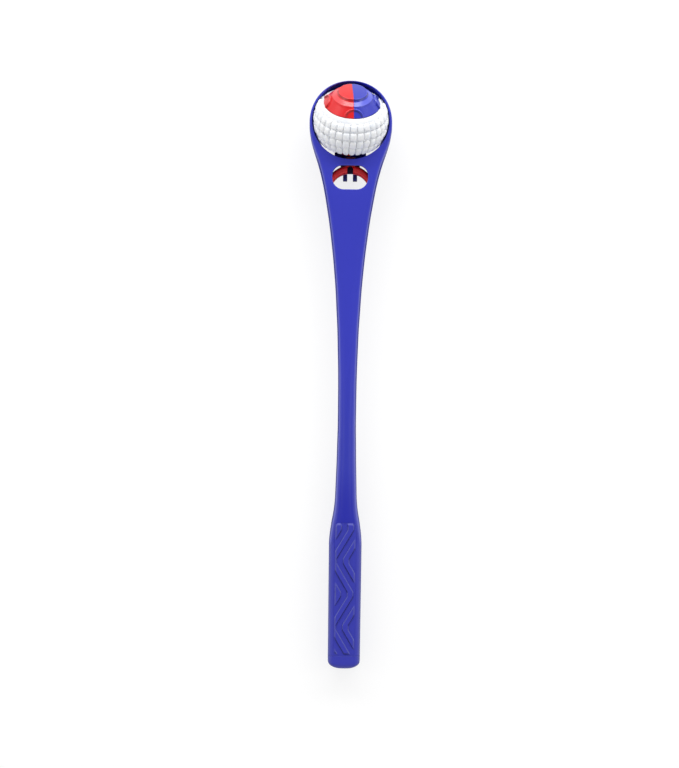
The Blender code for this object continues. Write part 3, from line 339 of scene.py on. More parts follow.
def rubberLook(name):
    look, graph, shader = finish(name, {
        "Specular IOR Level": rubber["specular"], "Subsurface Weight": rubber["soft"],
        "Subsurface Radius": rubber["softTint"], "Subsurface Scale": rubber["softDepth"]})
    place = graph.add("ShaderNodeTexCoord", output="Object")
    grain = graph.noise(place, rubber["grainScale"], 3.0)
    cloud = graph.noise(place, rubber["cloudScale"], 3.0)
    tone = (cloud * rubber["cloud"] + grain * (1 - rubber["cloud"])).step(*rubber["tone"])
    feed(graph, shader, "Base Color", graph.mix(tone, colour(rubber["groove"]), colour(rubber["colour"])))
    feed(graph, shader, "Roughness", (grain - 0.5) * rubber["roughnessSpread"] + rubber["roughness"])
    feedBump(graph, shader, rubber["bump"], (grain - 0.5) * rubber["grain"])
    return look


steel = {"dark": (0.42, 0.43, 0.45), "light": (0.62, 0.63, 0.65), "roughness": 0.22, "roughnessSpread": 0.2,
         "stretch": (300.0, 4000.0, 4000.0)}


def steelLook(name):
    look, graph, shader = finish(name, {"Metallic": 1.0})
    place = graph.add("ShaderNodeTexCoord", output="Object")
    drawn = graph.add("ShaderNodeMapping", {"Vector": place, "Scale": steel["stretch"]})
    lines = graph.noise(drawn, 1.0, 3.0)
    feed(graph, shader, "Base Color", graph.mix(lines, colour(steel["dark"]), colour(steel["light"])))
    feed(graph, shader, "Roughness", lines * steel["roughnessSpread"] + steel["roughness"])
    return look


wandLook = plasticLook("satinBluePlastic", False)
gripLook = plasticLook("gripBluePlastic", True)
treadLook = rubberLook("whiteRubber")
leverLook = glossLook("glossRedLever", leverRed)
metalLook = steelLook("drawnSteel")
print("finishes made")


def newObject(name, data):
    made = bpy.data.objects.new(name, data)
    bpy.context.scene.collection.objects.link(made)
    return made


def addMesh(name, points, faces, matrix=None):
    mesh = bpy.data.meshes.new(name)
    mesh.from_pydata([tuple(p) for p in points], [], faces)
    work = bmesh.new()
    work.from_mesh(mesh)
    bmesh.ops.remove_doubles(work, verts=work.verts, dist=1e-7)
    if matrix is not None:
        bmesh.ops.transform(work, matrix=matrix, verts=work.verts)
    bmesh.ops.recalc_face_normals(work, faces=work.faces)
    work.to_mesh(mesh)
    work.free()
    return newObject(name, mesh)


def loft(name, rings, matrix=None, joined=False):
    # faces between neighbouring rings, with a flat face on either end or the last ring joined to the first
    count, total = len(rings[0]), len(rings)
    points = [point for ring in rings for point in ring]
    faces = []
    for r in range(total if joined else total - 1):
        here, there = r * count, (r + 1) % total * count
        faces += [(here + i, here + (i + 1) % count, there + (i + 1) % count, there + i) for i in range(count)]
    if not joined:
        faces += [tuple(range(count)), tuple(range((total - 1) * count, total * count))]
    return addMesh(name, points, faces, matrix)


def turned(name, profile, steps, matrix=None):
    # (radius, height) points from axis to axis, turned about +Z
    points = [(0, 0, profile[0][1]), (0, 0, profile[-1][1])]
    inner = profile[1:-1]
    for s in range(steps):
        turn = 2 * pi * (s + 0.5) / steps
        points += [(r * cos(turn), r * sin(turn), z) for r, z in inner]
    count = len(inner)
    faces = []
    for s in range(steps):
        here, there = 2 + s * count, 2 + (s + 1) % steps * count
        faces.append((0, here, there))
        faces += [(here + i, here + i + 1, there + i + 1, there + i) for i in range(count - 1)]
        faces.append((1, there + count - 1, here + count - 1))
    return addMesh(name, points, faces, matrix)


def onSphere(latitude, longitude, radius=1.0):
    level = radius * cos(latitude)
    return (level * cos(longitude), level * sin(longitude), radius * sin(latitude))


def prism(name, outline, low, high, matrix=None):
    return loft(name, [[(x, y, low) for x, y in outline], [(x, y, high) for x, y in outline]], matrix)


def block(name, low, high):
    outline = [(low[0], low[1]), (high[0], low[1]), (high[0], high[1]), (low[0], high[1])]
    return prism(name, outline, low[2], high[2])


def rod(name, radius, low, high, steps, matrix=None):
    outline = [(radius * cos(2 * pi * s / steps), radius * sin(2 * pi * s / steps)) for s in range(steps)]
    return prism(name, outline, low, high, matrix)


def rounded(corners, steps=10):
    # rounds an outline given as (x, y, radius) corners
    outline = []
    for i, (x, y, radius) in enumerate(corners):
        here = Vector((x, y))
        back = (Vector(corners[i - 1][:2]) - here).normalized()
        ahead = (Vector(corners[(i + 1) % len(corners)][:2]) - here).normalized()
        if radius <= 0:
            outline.append((x, y))
            continue
        half = back.angle(ahead) / 2
        middle = here + (back + ahead).normalized() * (radius / sin(half))
        start = here + back * (radius * cos(half) / sin(half)) - middle
        end = here + ahead * (radius * cos(half) / sin(half)) - middle
        sweep = start.angle_signed(end)
        for s in range(steps + 1):
            arm = start.copy()
            arm.rotate(Matrix.Rotation(-sweep * s / steps, 2))
            outline.append(tuple(middle + arm))
    return outline


def settle(piece):
    # the result of the piece's modifiers becomes its own mesh
    bpy.context.view_layer.update()
    result = bpy.data.meshes.new_from_object(piece.evaluated_get(bpy.context.evaluated_depsgraph_get()))
    piece.modifiers.clear()
    piece.data = result


def carve(target, tool, operation='DIFFERENCE'):
    step = target.modifiers.new(operation.lower(), 'BOOLEAN')
    step.operation = operation
    step.object = tool
    step.solver = 'EXACT'
    settle(target)
    bpy.data.objects.remove(tool)


def bevel(piece, width, segments=2, angle=35.0):
    step = piece.modifiers.new("softEdges", 'BEVEL')
    step.width, step.segments, step.limit_method, step.angle_limit = width, segments, 'ANGLE', radians(angle)
    settle(piece)


def dress(piece, look, body, nodes, sharpAngle=32.0, weighted=True):
    # smooth shading, material, body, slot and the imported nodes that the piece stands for
    mesh = piece.data
    mesh.materials.clear()
    mesh.materials.append(look)
    mesh.polygons.foreach_set("material_index", [0] * len(mesh.polygons))
    mesh.shade_smooth()
    mesh.set_sharp_from_angle(angle=radians(sharpAngle))
    if weighted:
        step = piece.modifiers.new("flatFaces", 'WEIGHTED_NORMAL')
        step.keep_sharp = True
        settle(piece)
    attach(piece, body)
    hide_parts(*nodes)
    print(piece.name, len(piece.data.polygons), "faces")


def halfWidth(fromTip):
    if fromTip <= hoopRadius:
        return hoopRadius * max(1 - (1 - fromTip / hoopRadius)**wand["hoopCurve"], 0)**(1 / wand["hoopCurve"])
    waist, handle = wand["waistWidth"] / 2, wand["handleWidth"] / 2
    if fromTip <= waistFromTip:
        return waist + (hoopRadius - waist) * eased(neckWidths, (fromTip - hoopRadius) / (waistFromTip - hoopRadius))
    if fromTip <= handleFromTip:
        share = (fromTip - waistFromTip) / (handleFromTip - waistFromTip)
        return waist + (handle - waist) * eased(handleSwells, share)
    taper = smoothStep(handleFromTip, wand["length"], fromTip)
    return handle - (handle - wand["handleEndWidth"] / 2) * taper


def frontHeight(fromTip):
    if fromTip <= waistFromTip:
        share = (fromTip - hoopRadius) / (waistFromTip - hoopRadius)
        return waistFront + (rimHeight - waistFront) * eased(neckFronts, share)
    share = (fromTip - waistFromTip) / (handleFromTip - waistFromTip)
    return waistFront + (wand["handleThickness"] - waistFront) * eased(handleSwells, share)


def backHeight(fromTip):
    along = min(abs(hoopRadius - fromTip) / hoopRadius, 1.0)
    bowl = equator - (hoopRadius + wand["footTrim"]) * (1 - along**wand["cupCurve"])**(1 / wand["cupCurve"])
    if fromTip <= hoopRadius:
        return bowl
    if fromTip <= waistFromTip:
        share = (fromTip - hoopRadius) / (waistFromTip - hoopRadius)
        return min(bowl, wand["waistHeight"] + (neckBack - wand["waistHeight"]) * eased(neckBacks, share))
    return wand["waistHeight"] * (1 - eased(handleBacks, (fromTip - waistFromTip) / (handleFromTip - waistFromTip)))


def parting(fromTip):
    middle = (frontHeight(fromTip) + backHeight(fromTip)) / 2
    return neckParting + (middle - neckParting) * smoothStep(tipY - hingeY, tipY - hingeY + hoopRadius, fromTip)


# points round one section, and sections from the tip to the cap; the first turn is in degrees round the hoop
sections = {"arc": 9, "face": 26, "side": 3, "lower": 57, "firstTurn": 4.0, "hoop": 34, "along": (28, 62, 40, 12),
            "hollow": 12}


def wandRing(fromTip):
    # one section: crowned face, rounded edges, sides with a little draft, and a bowl or box below
    y = tipY - fromTip
    width, front, back = halfWidth(fromTip), frontHeight(fromTip), backHeight(fromTip)
    waistward = smoothStep(2 * hoopRadius, handleFromTip, fromTip)
    neckward = smoothStep(hoopRadius, 2 * hoopRadius, fromTip)
    edge = wand["rimRound"] + (wand["neckRound"] - wand["rimRound"]) * neckward
    edge = min(edge + (wand["handleRound"] - wand["neckRound"]) * waistward**3, width / 2)
    corner = min(wand["handleRound"], width / 2)
    boxiness = smoothStep(2 * hoopRadius - neckBack, tipY - windowBottom, fromTip)
    shoulder = equator + (parting(fromTip) - equator) * boxiness
    draft = wand["hoopDraft"] + (wand["neckDraft"] - wand["hoopDraft"]) * neckward
    draft = min(draft + (wand["handleDraft"] - wand["neckDraft"]) * waistward**3, width / 5)
    belowWindow = fromTip - (tipY - windowBottom)
    crown = wand["crown"] * smoothStep(-wand["crownBefore"], wand["crownAfter"], belowWindow)
    flat = width - draft - edge
    arc = [(-flat - edge * cos(pi / 2 * s / (sections["arc"] - 1)),
            front - crown - edge + edge * sin(pi / 2 * s / (sections["arc"] - 1))) for s in range(sections["arc"])]
    across = [-flat + 2 * flat * s / sections["face"] for s in range(1, sections["face"])]
    ring = arc + [(x, front - crown * (x / flat)**2) for x in across] + [(-x, z) for x, z in reversed(arc)]
    top = arc[0][1]
    side = [(width - draft + draft * s / sections["side"], top + (shoulder - top) * s / sections["side"])
            for s in range(1, sections["side"])]
    lower = []
    middle = sections["lower"] // 2
    for s in range(sections["lower"]):
        turn = pi * s / (sections["lower"] - 1)
        sideways = cos(turn)
        curve = 2 / wand["cupCurve"]
        bowl = (width * abs(sideways)**curve * (1 if sideways > 0 else -1),
                shoulder - (shoulder - back) * sin(turn)**curve)
        near = min(s, sections["lower"] - 1 - s)
        bend = pi / 2 * near / (middle - 1)
        boxX = 0.0 if near == middle else width - corner + corner * cos(bend)
        boxZ = back if near == middle else back + corner - corner * sin(bend)
        boxX *= 1 if s < middle else -1
        lower.append((bowl[0] + (boxX - bowl[0]) * boxiness, bowl[1] + (boxZ - bowl[1]) * boxiness))
    ring += side + lower + [(-x, z) for x, z in reversed(side)]
    return [(x, y, z) for x, z in ring]


def stations():
    turns = np.linspace(sections["firstTurn"], 90.0, sections["hoop"])
    places = [hoopRadius * (1 - cos(radians(turn))) for turn in turns]
    ends = (hoopRadius, 2 * hoopRadius, waistFromTip, handleFromTip, capFromTip - seam)
    for low, high, count in zip(ends, ends[1:], sections["along"]):
        places += list(np.linspace(low, high, count)[1:])
    return places


def flare(soft, sweep=80.0, steps=5):
    # a rounded mouth, as pairs of how far it opens and how far it lies below the face
    turns = [radians(sweep) * s / steps for s in range(steps + 1)]
    return [(soft * (1 - cos(turn)), soft * (1 - sin(turn))) for turn in turns]


def cupProfile(radius, top=None, steps=26):
    profile = []
    for s in range(steps + 1):
        turn = pi / 2 * s / steps
        profile.append((radius * sin(turn)**(2 / wand["cupCurve"]),
                        equator - radius * max(cos(turn), 0.0)**(2 / wand["cupCurve"])))
    profile[0] = (0, profile[0][1])
    if top is None:
        profile.append((radius, rimHeight + overrun))
    else:
        profile += [(radius + out, rimHeight - down) for out, down in flare(wand["cupMouth"])]
        profile.append((profile[-1][0], top))
    profile.append((0, profile[-1][1]))
    return profile


def windowOutline(grow=0.0):
    half = window["width"] / 2 + grow
    top, bottom = window["topCorner"] + grow, window["bottomCorner"] + grow
    return rounded([(half, windowTop + grow, top), (half, windowBottom - grow, bottom),
                    (-half, windowBottom - grow, bottom), (-half, windowTop + grow, top)], 14)


def windowCutter():
    # its mouth flares out to the face, following the face's height
    mouth = flare(window["round"])
    rings = [[(x, y, neckBack + 2 * wand["neckWall"]) for x, y in windowOutline()]]
    rings += [[(x, y, frontHeight(tipY - y) - down) for x, y in windowOutline(out)] for out, down in mouth]
    rings.append([(x, y, rimHeight + overrun) for x, y in windowOutline(mouth[-1][0])])
    return loft("windowCutter", rings)


def neckRoom():
    first, last = hoopRadius + wand["hollowFromCupMiddle"], tipY - windowBottom + window["cavityBelow"]
    rings = []
    for fromTip in np.linspace(first, last, sections["hollow"]):
        half = halfWidth(fromTip) - wand["neckWall"]
        low, high = neckBack + wand["neckWall"], frontHeight(fromTip) - wand["neckWall"]
        y = tipY - fromTip
        rings.append([(-half, y, low), (half, y, low), (half, y, high), (-half, y, high)])
    room = loft("neckRoom", rings)
    carve(room, turned("cupGuard", cupProfile(hoopRadius), 96, Matrix.Translation((0, cupY, 0))))
    return room


def rearWindow():
    half, low = window["width"] / 2 + window["rearMargin"], windowBottom - window["rearMargin"]
    corner = window["bottomCorner"]
    outline = rounded([(half, tongueEnd, 0), (half, low, corner), (-half, low, corner), (-half, tongueEnd, 0)], 12)
    return prism("rearWindow", outline, -overrun, rearCutTop)


rearCut = {"spineWidth": 0.0268, "tongueWidth": 0.0164, "corner": 0.0018, "spineDegrees": 42.0,
           "arc": ((1.09, 30.0), (1.0, 45.0), (0.925, 60.0), (0.83, 66.0), (0.68, 66.0), (0.62, 55.0))}


def rearCutter(side):
    # beside the tongue, along the spine and round the cup's back
    corner = rearCut["corner"]
    edge = window["width"] / 2 + window["rearMargin"]
    lip = cupY - cupRadius
    spine, tongue = rearCut["spineWidth"] / 2, rearCut["tongueWidth"] / 2
    spineTop = cupY - rearCut["arc"][-1][0] * cupRadius * cos(radians(rearCut["spineDegrees"]))
    corners = [(spine, spineTop, corner), (spine, lip + spine - tongue, corner), (tongue, lip, corner),
               (tongue, tongueEnd - gap, 0), (edge, tongueEnd - gap, 0), (edge, lip, corner)]
    for share, turn in rearCut["arc"]:
        reach = share * cupRadius
        corners.append((reach * sin(radians(turn)), cupY - reach * cos(radians(turn)), corner))
    return prism("rearCutter", [(x * side, y) for x, y in rounded(corners, 6)], -overrun, rearCutTop)


lever = {"spring": 0.0029, "outerArc": 1.195, "innerArc": 1.145, "outerDrop": 0.0030, "innerDrop": 0.0066,
         "thickness": 0.0050, "arm": 0.0026, "boss": 0.0031, "slit": 0.0050, "slitBelowCrown": 0.0011,
         "noseWidth": 0.0080, "noseThickness": 0.0024, "noseGap": 0.0014, "travel": 6.0,
         "pinHole": 0.0018, "pinInWall": 0.0015, "topRound": 0.0030, "underRound": 0.0008,
         "topMost": 0.46, "underMost": 0.40,   # the largest share of the arch's width that each round takes
         "archSteps": 49, "cornerSteps": 6, "bossRound": 0.0003, "noseRound": 0.0004, "noseRoot": 0.0016}
leverHalf = halfWidth(tipY - hingeY) - wand["neckWall"] - lever["spring"]
leverArm = leverHalf - lever["arm"]
leverCrown = hingeY - lever["outerDrop"] + leverHalf * lever["outerArc"]
leverLow, leverTop = hingeZ - lever["thickness"] / 2, hingeZ + lever["thickness"] / 2

finger = {"width": 0.0036, "spacing": 0.0084, "length": 0.0064, "hookLength": 0.0018, "hookRise": 0.0032,
          "padLength": 0.0038, "round": 0.00035}


def fingers():
    floor, top = neckBack, neckBack + wand["neckWall"]
    padHigh = tongueEnd + finger["padLength"]
    padTop = leverLow - gap - (padHigh - hingeY) * sin(radians(lever["travel"]))
    tip = tongueEnd - finger["length"]
    hook = tip + finger["hookLength"]
    side = [(padHigh, floor), (padHigh, padTop), (tongueEnd, padTop), (tongueEnd - gap, top), (hook, top),
            (hook, top + finger["hookRise"]), (tip, top + finger["hookRise"] - gap), (tip, floor)]
    made = []
    for centre in (-finger["spacing"] / 2, finger["spacing"] / 2):
        edges = (centre - finger["width"] / 2, centre + finger["width"] / 2)
        bar = loft("finger", [[(x, y, z) for y, z in side] for x in edges])
        bevel(bar, finger["round"])
        made.append(bar)
    return made


def alongX(x, y, z):
    return Matrix.Translation((x, y, z)) @ Matrix.Rotation(pi / 2, 4, 'Y')


screw = {"head": 0.0054, "headHeight": 0.0018, "shank": 0.0026, "length": 0.0080, "clamp": 0.0035,
         "socket": 0.0024, "socketDepth": 0.0009, "leadIn": 0.0005, "headFlat": 0.6, "headEdge": 0.45,
         "places": (0.222, 0.335, 0.49, 0.665)}
screwPlaces = [share * wand["length"] for share in screw["places"]]


def screwHoles(wandBody):
    head, shank = screw["head"] / 2 + gap, screw["shank"] / 2 + gap
    for fromTip in screwPlaces:
        mouth, seat, wide = backHeight(fromTip), parting(fromTip) - screw["clamp"], head + screw["leadIn"]
        profile = [(0, mouth - overrun), (wide, mouth - overrun), (wide, mouth), (head, mouth + screw["leadIn"]),
                   (head, seat + gap), (shank, seat + gap), (shank, seat + screw["length"] + gap),
                   (0, seat + screw["length"] + gap)]
        carve(wandBody, turned("screwHole", profile, 32, Matrix.Translation((0, tipY - fromTip, 0))))


panel = {"width": 0.0176, "length": 0.1114, "fromCap": 0.0010, "base": 0.0013, "relief": 0.0009, "corner": 0.0030,
         "pitch": 0.0105, "bar": 0.0052, "halfPeriod": 0.0281, "reach": 0.0143, "straight": 0.0040,
         "firstTurn": 0.0321, "shift": 0.0027, "vertexRound": 0.04, "seat": 0.00004, "barRound": 0.0008,
         "fade": 0.0022, "below": 0.00045, "above": 0.00070}   # field below and bars above the handle's face
panelLow = tipY - capFromTip + panel["fromCap"]
panelMiddle = panelLow + panel["length"] / 2


def panelRecess(front):
    half, depth = panel["width"] / 2 + gap, panel["base"] + panel["relief"] + gap
    top, low, corner = panelLow + panel["length"] + gap, panelLow - gap, panel["corner"] + gap
    outline = rounded([(half, top, corner), (half, low, corner), (-half, low, corner), (-half, top, corner)])
    thick = wand["handleThickness"]
    return prism("panelRecess", outline, *((thick - depth, thick + overrun) if front else (-overrun, depth)))


cap = {"straight": 0.44, "curve": 2.0, "depthCurve": 3.0, "steps": 26, "endShare": 0.10, "seamRound": 0.0003,
       "turn": 89.1, "plugWall": 0.0050, "plugLength": 0.0120}


def plug(grow):
    wall, thick = cap["plugWall"], wand["handleThickness"]
    half, low, high = wand["handleEndWidth"] / 2 - wall + grow, wall - grow, thick - wall + grow
    radius = wand["handleRound"] / 2
    outline = rounded([(half, high, radius), (half, low, radius), (-half, low, radius), (-half, high, radius)], 5)
    ends = (-tipY + wand["capLength"] / 2, -tipY + wand["capLength"] + cap["plugLength"] + grow)
    return loft("plug", [[(x, y, z) for x, z in outline] for y in ends])


def partingBlock(offset, upwards):
    far = 3 * rimHeight if upwards else -rimHeight
    line = [(tipY - s, parting(s) + offset) for s in stations()]
    line = [(tipY + overrun, line[0][1])] + line + [(-tipY - overrun, line[-1][1])]
    side = line + [(-tipY - overrun, far), (tipY + overrun, far)]
    reach = hoopRadius + overrun
    return loft("partingBlock", [[(x, y, z) for y, z in side] for x in (-reach, reach)])


def makeShells():
    whole = loft("frontShell", [wandRing(fromTip) for fromTip in stations()])
    carve(whole, block("belowFoot", (-hoopRadius, -tipY, -hoopRadius), (hoopRadius, tipY, 0)))
    carve(whole, neckRoom())
    carve(whole, turned("cup", cupProfile(cupRadius, rimHeight + overrun), 128, Matrix.Translation((0, cupY, 0))))
    carve(whole, windowCutter())
    carve(whole, rearWindow())
    for side in (-1, 1):
        carve(whole, rearCutter(side))
    slot = lever["noseWidth"] / 2 + 2 * gap
    drop = (cupY - cupRadius - hingeY) * sin(radians(lever["travel"])) + 2 * gap
    carve(whole, block("noseSlot", (-slot, cupY - hoopRadius - gap, hingeZ - drop),
                       (slot, cupY - cupRadius + overrun, hingeZ + lever["noseThickness"] + 2 * gap)))
    socket = halfWidth(tipY - hingeY) - wand["neckWall"] + lever["pinInWall"] + gap
    carve(whole, rod("pinSockets", lever["pinHole"], -socket, socket, 24, alongX(0, hingeY, hingeZ)))
    screwHoles(whole)
    for front in (True, False):
        carve(whole, panelRecess(front))
    carve(whole, plug(gap))
    rear = newObject("rearShell", whole.data.copy())
    carve(whole, partingBlock(gap / 2, False))
    carve(rear, partingBlock(-gap / 2, True))
    for bar in fingers():
        carve(rear, bar, 'UNION')
    dress(whole, wandLook, "thrower", ["front_shell"])
    dress(rear, wandLook, "thrower", ["rear_shell"])


makeShells()


def makeCap():
    section = [(x, z) for x, y, z in wandRing(capFromTip)]
    middle, half = wand["handleThickness"] / 2, wand["handleEndWidth"] / 2
    # each ring: its share of the cap's length, of the width and of the depth
    shares = [(0.0,) + (1 - cap["seamRound"] / half,) * 2, (cap["seamRound"] / wand["capLength"], 1.0, 1.0)]
    for s in range(cap["steps"]):
        bent = sin(radians(cap["turn"]) * s / (cap["steps"] - 1))
        wide, deep = [max((1 - bent**curve)**(1 / curve), cap["endShare"])
                      for curve in (cap["curve"], cap["depthCurve"])]
        shares.append((cap["straight"] + (1 - cap["straight"]) * bent, wide, deep))
    rings = [[(x * wide, -tipY + wand["capLength"] * (1 - along), middle + (z - middle) * deep) for x, z in section]
             for along, wide, deep in shares]
    made = loft("endCap", rings)
    carve(made, plug(0.0), 'UNION')
    dress(made, wandLook, "thrower", ["end_cap"])


makeCap()


# geometry trees: named inputs, then fields worked out by the same Wire arithmetic
def newTree(name, inputs):
    tree = bpy.data.node_groups.new(name, 'GeometryNodeTree')
    tree.interface.new_socket(name="Geometry", in_out='INPUT', socket_type='NodeSocketGeometry')
    tree.interface.new_socket(name="Geometry", in_out='OUTPUT', socket_type='NodeSocketGeometry')
    for label, kind in inputs:
        tree.interface.new_socket(name=label, in_out='INPUT', socket_type=kind)
    graph = Graph(tree)
    source = tree.nodes.new("NodeGroupInput")
    wires = {socket.name: Wire(graph, socket) for socket in source.outputs if socket.name}
    return tree, graph, wires


def endTree(graph, geometry, look):
    shaded = graph.add("GeometryNodeSetShadeSmooth", {0: geometry})
    real = graph.add("GeometryNodeRealizeInstances", {0: shaded})
    dressed = graph.add("GeometryNodeSetMaterial", {"Geometry": real, "Material": look})
    out = graph.tree.nodes.new("NodeGroupOutput")
    graph.tree.links.new(dressed.socket, out.inputs[0])


def bake(piece, tree, values):
    # sets each input by its socket's identifier, then turns the result into a plain mesh
    step = piece.modifiers.new("made", 'NODES')
    step.node_group = tree
    for item in tree.interface.items_tree:
        if item.in_out == 'INPUT' and item.name in values:
            step[item.identifier] = values[item.name]
    settle(piece)
    return piece


def emptyPiece(name, points=()):
    mesh = bpy.data.meshes.new(name)
    mesh.from_pydata([tuple(p) for p in points], [], [])
    return newObject(name, mesh)


def zigzagTree():
    # a plate whose top carries rounded zigzag bars, from the distance to the nearest bar's middle line
    floats = ["Width", "Length", "Thickness", "Corner", "Pitch", "Bar", "Relief", "Half period", "Reach",
              "Straight", "First turn", "Shift", "Vertex round", "Bar round", "Fade"]
    tree, graph, wire = newTree("zigzagBars", [(label, 'NodeSocketFloat') for label in floats]
                                + [("Material", 'NodeSocketMaterial')])
    size = graph.point(wire["Width"], wire["Length"], wire["Thickness"])
    plate = graph.add("GeometryNodeMeshCube", {"Size": size, "Vertices X": 71, "Vertices Y": 441, "Vertices Z": 4})
    x, y, z = graph.add("GeometryNodeInputPosition").parts()
    insideX, insideY = wire["Width"] * 0.5 - wire["Corner"], wire["Length"] * 0.5 - wire["Corner"]
    overX, overY = (abs(x) - insideX).atLeast(0.0), (abs(y) - insideY).atLeast(0.0)
    reach = overX.atLeast(overY)
    shrink = reach / (overX * overX + overY * overY).maths('SQRT').atLeast(1e-7)   # square corner to round corner
    newX = x.maths('SIGN') * (abs(x).atMost(insideX) + overX * shrink)
    newY = y.maths('SIGN') * (abs(y).atMost(insideY) + overY * shrink)
    edge = (wire["Corner"] - reach).step(0.0, wire["Fade"])
    turns = ((wire["Length"] * 0.5 - newY) - wire["First turn"]) / wire["Half period"]
    flat = wire["Straight"] / wire["Half period"] * 0.5
    slant = (turns.maths('PINGPONG', 1.0) - flat) / (1 - flat * 2)
    slant = slant.maths('SMOOTH_MIN', 1.0, wire["Vertex round"]).maths('SMOOTH_MAX', 0.0, wire["Vertex round"])
    across = (newX - wire["Shift"] - (slant - 0.5) * wire["Reach"]) / wire["Pitch"]
    away = abs(across.maths('FRACT') - 0.5) * wire["Pitch"]
    rise = ((wire["Bar"] * 0.5 - away) / wire["Bar round"]).atLeast(0.0).atMost(1.0)
    height = (1 - (1 - rise) ** 2.0).maths('SQRT') * wire["Relief"] * edge
    onTop = z.maths('GREATER_THAN', wire["Thickness"] * 0.49)
    moved = graph.point(newX, newY, z + height * onTop)
    shaped = graph.add("GeometryNodeSetPosition", {"Geometry": plate, "Position": moved})
    endTree(graph, shaped, wire["Material"])
    return tree


def makePanels():
    tree = zigzagTree()
    thick, fit, relief = wand["handleThickness"], gap - panel["seat"], panel["below"] + panel["above"]
    for name, node, front in (("gripPanelFront", "grip_panel_front", True),
                              ("gripPanelRear", "grip_panel_rear", False)):
        below = panel["below"] if front else relief   # at the back nothing stands out of the face it lies on
        deep = panel["base"] + panel["relief"] - below
        piece = bake(emptyPiece(name), tree, {
            "Width": panel["width"] + 2 * fit, "Length": panel["length"] + 2 * fit, "Thickness": deep,
            "Corner": panel["corner"] + fit, "Pitch": panel["pitch"], "Bar": panel["bar"], "Relief": relief,
            "Half period": panel["halfPeriod"], "Reach": panel["reach"], "Straight": panel["straight"],
            "First turn": panel["firstTurn"] + fit, "Shift": panel["shift"] * (1 if front else -1),
            "Vertex round": panel["vertexRound"], "Bar round": panel["barRound"], "Fade": panel["fade"],
            "Material": gripLook})
        if front:
            place = Matrix.Translation((0, panelMiddle, thick - below - deep / 2))
        else:
            place = Matrix.Translation((0, panelMiddle, below + deep / 2)) @ Matrix.Rotation(pi, 4, 'Y')
        piece.data.transform(place)
        dress(piece, gripLook, "thrower", [node], 50.0, False)


makePanels()
print("wand and grip made")


def makeLever():
    # crescent arch lofted from arm to arm, its top rounded over, with bosses, nose and slit
    rings = []
    outer, inner = leverHalf * lever["outerArc"], leverArm * lever["innerArc"]
    outerTurn, innerTurn = asin(leverHalf / outer), asin(leverArm / inner)
    # up the right arm, over the arch and down the left arm; an arm's share runs from the hinge to the arch
    places = [(1.0, 0.0), (1.0, 0.5)] + [(t, 1.0) for t in np.linspace(1, -1, lever["archSteps"])]
    places += [(-1.0, 0.5), (-1.0, 0.0)]
    for t, share in places:
        farther = Vector((outer * sin(outerTurn * t), hingeY - lever["outerDrop"] + outer * cos(outerTurn * t)))
        nearer = Vector((inner * sin(innerTurn * t), hingeY - lever["innerDrop"] + inner * cos(innerTurn * t)))
        if share < 1.0:
            farther.y = hingeY + (farther.y - hingeY) * share
            nearer.y = hingeY + (nearer.y - hingeY) * share
        wide = (farther - nearer).length
        top = min(lever["topRound"], wide * lever["topMost"])
        under = min(lever["underRound"], wide * lever["underMost"])
        ring = []
        corners = ((wide - top, leverTop - top, top, 0), (top, leverTop - top, top, 1),
                   (under, leverLow + under, under, 2), (wide - under, leverLow + under, under, 3))
        for u, z, radius, quarter in corners:
            for s in range(lever["cornerSteps"] + 1):
                turn = pi / 2 * (quarter + s / lever["cornerSteps"])
                spot = nearer + (farther - nearer) * ((u + radius * cos(turn)) / wide)
                ring.append((spot.x, spot.y, z + radius * sin(turn)))
        rings.append(ring)
    made = loft("releaseLever", rings)
    for low in (-leverHalf, leverArm):
        boss = rod("boss", lever["boss"], low, low + lever["arm"], 40, alongX(0, hingeY, hingeZ))
        bevel(boss, lever["bossRound"])
        carve(made, boss, 'UNION')
    side = lever["noseWidth"] / 2
    drop = ballCentre.z - hingeZ - lever["noseThickness"]
    far = ballCentre.y - sqrt((coreRadius + lever["noseGap"])**2 - drop**2)
    nose = block("nose", (-side, leverCrown - lever["noseRoot"], hingeZ),
                 (side, far, hingeZ + lever["noseThickness"]))
    bevel(nose, lever["noseRound"])
    carve(made, nose, 'UNION')
    half, top = lever["slit"] / 2, leverCrown - lever["slitBelowCrown"]
    outline = rounded([(half, top, half), (half, hingeY, 0), (-half, hingeY, 0), (-half, top, half)], 8)
    carve(made, prism("slit", outline, leverLow - overrun, leverTop + overrun))
    reach = leverHalf + overrun
    carve(made, rod("pinBore", lever["pinHole"], -reach, reach, 24, alongX(0, hingeY, hingeZ)))
    dress(made, leverLook, "lever", ["release_lever"], 40.0)


# the ball: its axis tilts towards the tip
ballSet = {"tilt": 46.9, "sideTilt": 2.5, "spin": 4.0, "towardsTip": 0.0006, "belowEquator": 0.0003,
           "treadRelief": 0.00265, "coreWall": 0.0050, "seatDepth": 0.0019, "beltLatitude": 34.5}
coreRadius = ballRadius - ballSet["treadRelief"]
ballCentre = Vector((0, cupY + ballSet["towardsTip"], equator - ballSet["belowEquator"]))
ballPlace = Matrix.Translation(ballCentre)
for turn, axis in ((-ballSet["tilt"], 'X'), (ballSet["sideTilt"], 'Y'), (ballSet["spin"], 'Z')):
    ballPlace = ballPlace @ Matrix.Rotation(radians(turn), 4, axis)
ballAxis = ballPlace.to_3x3() @ Vector((0, 0, 1))
beltInner = coreRadius - ballSet["seatDepth"] + 2 * gap

makeLever()


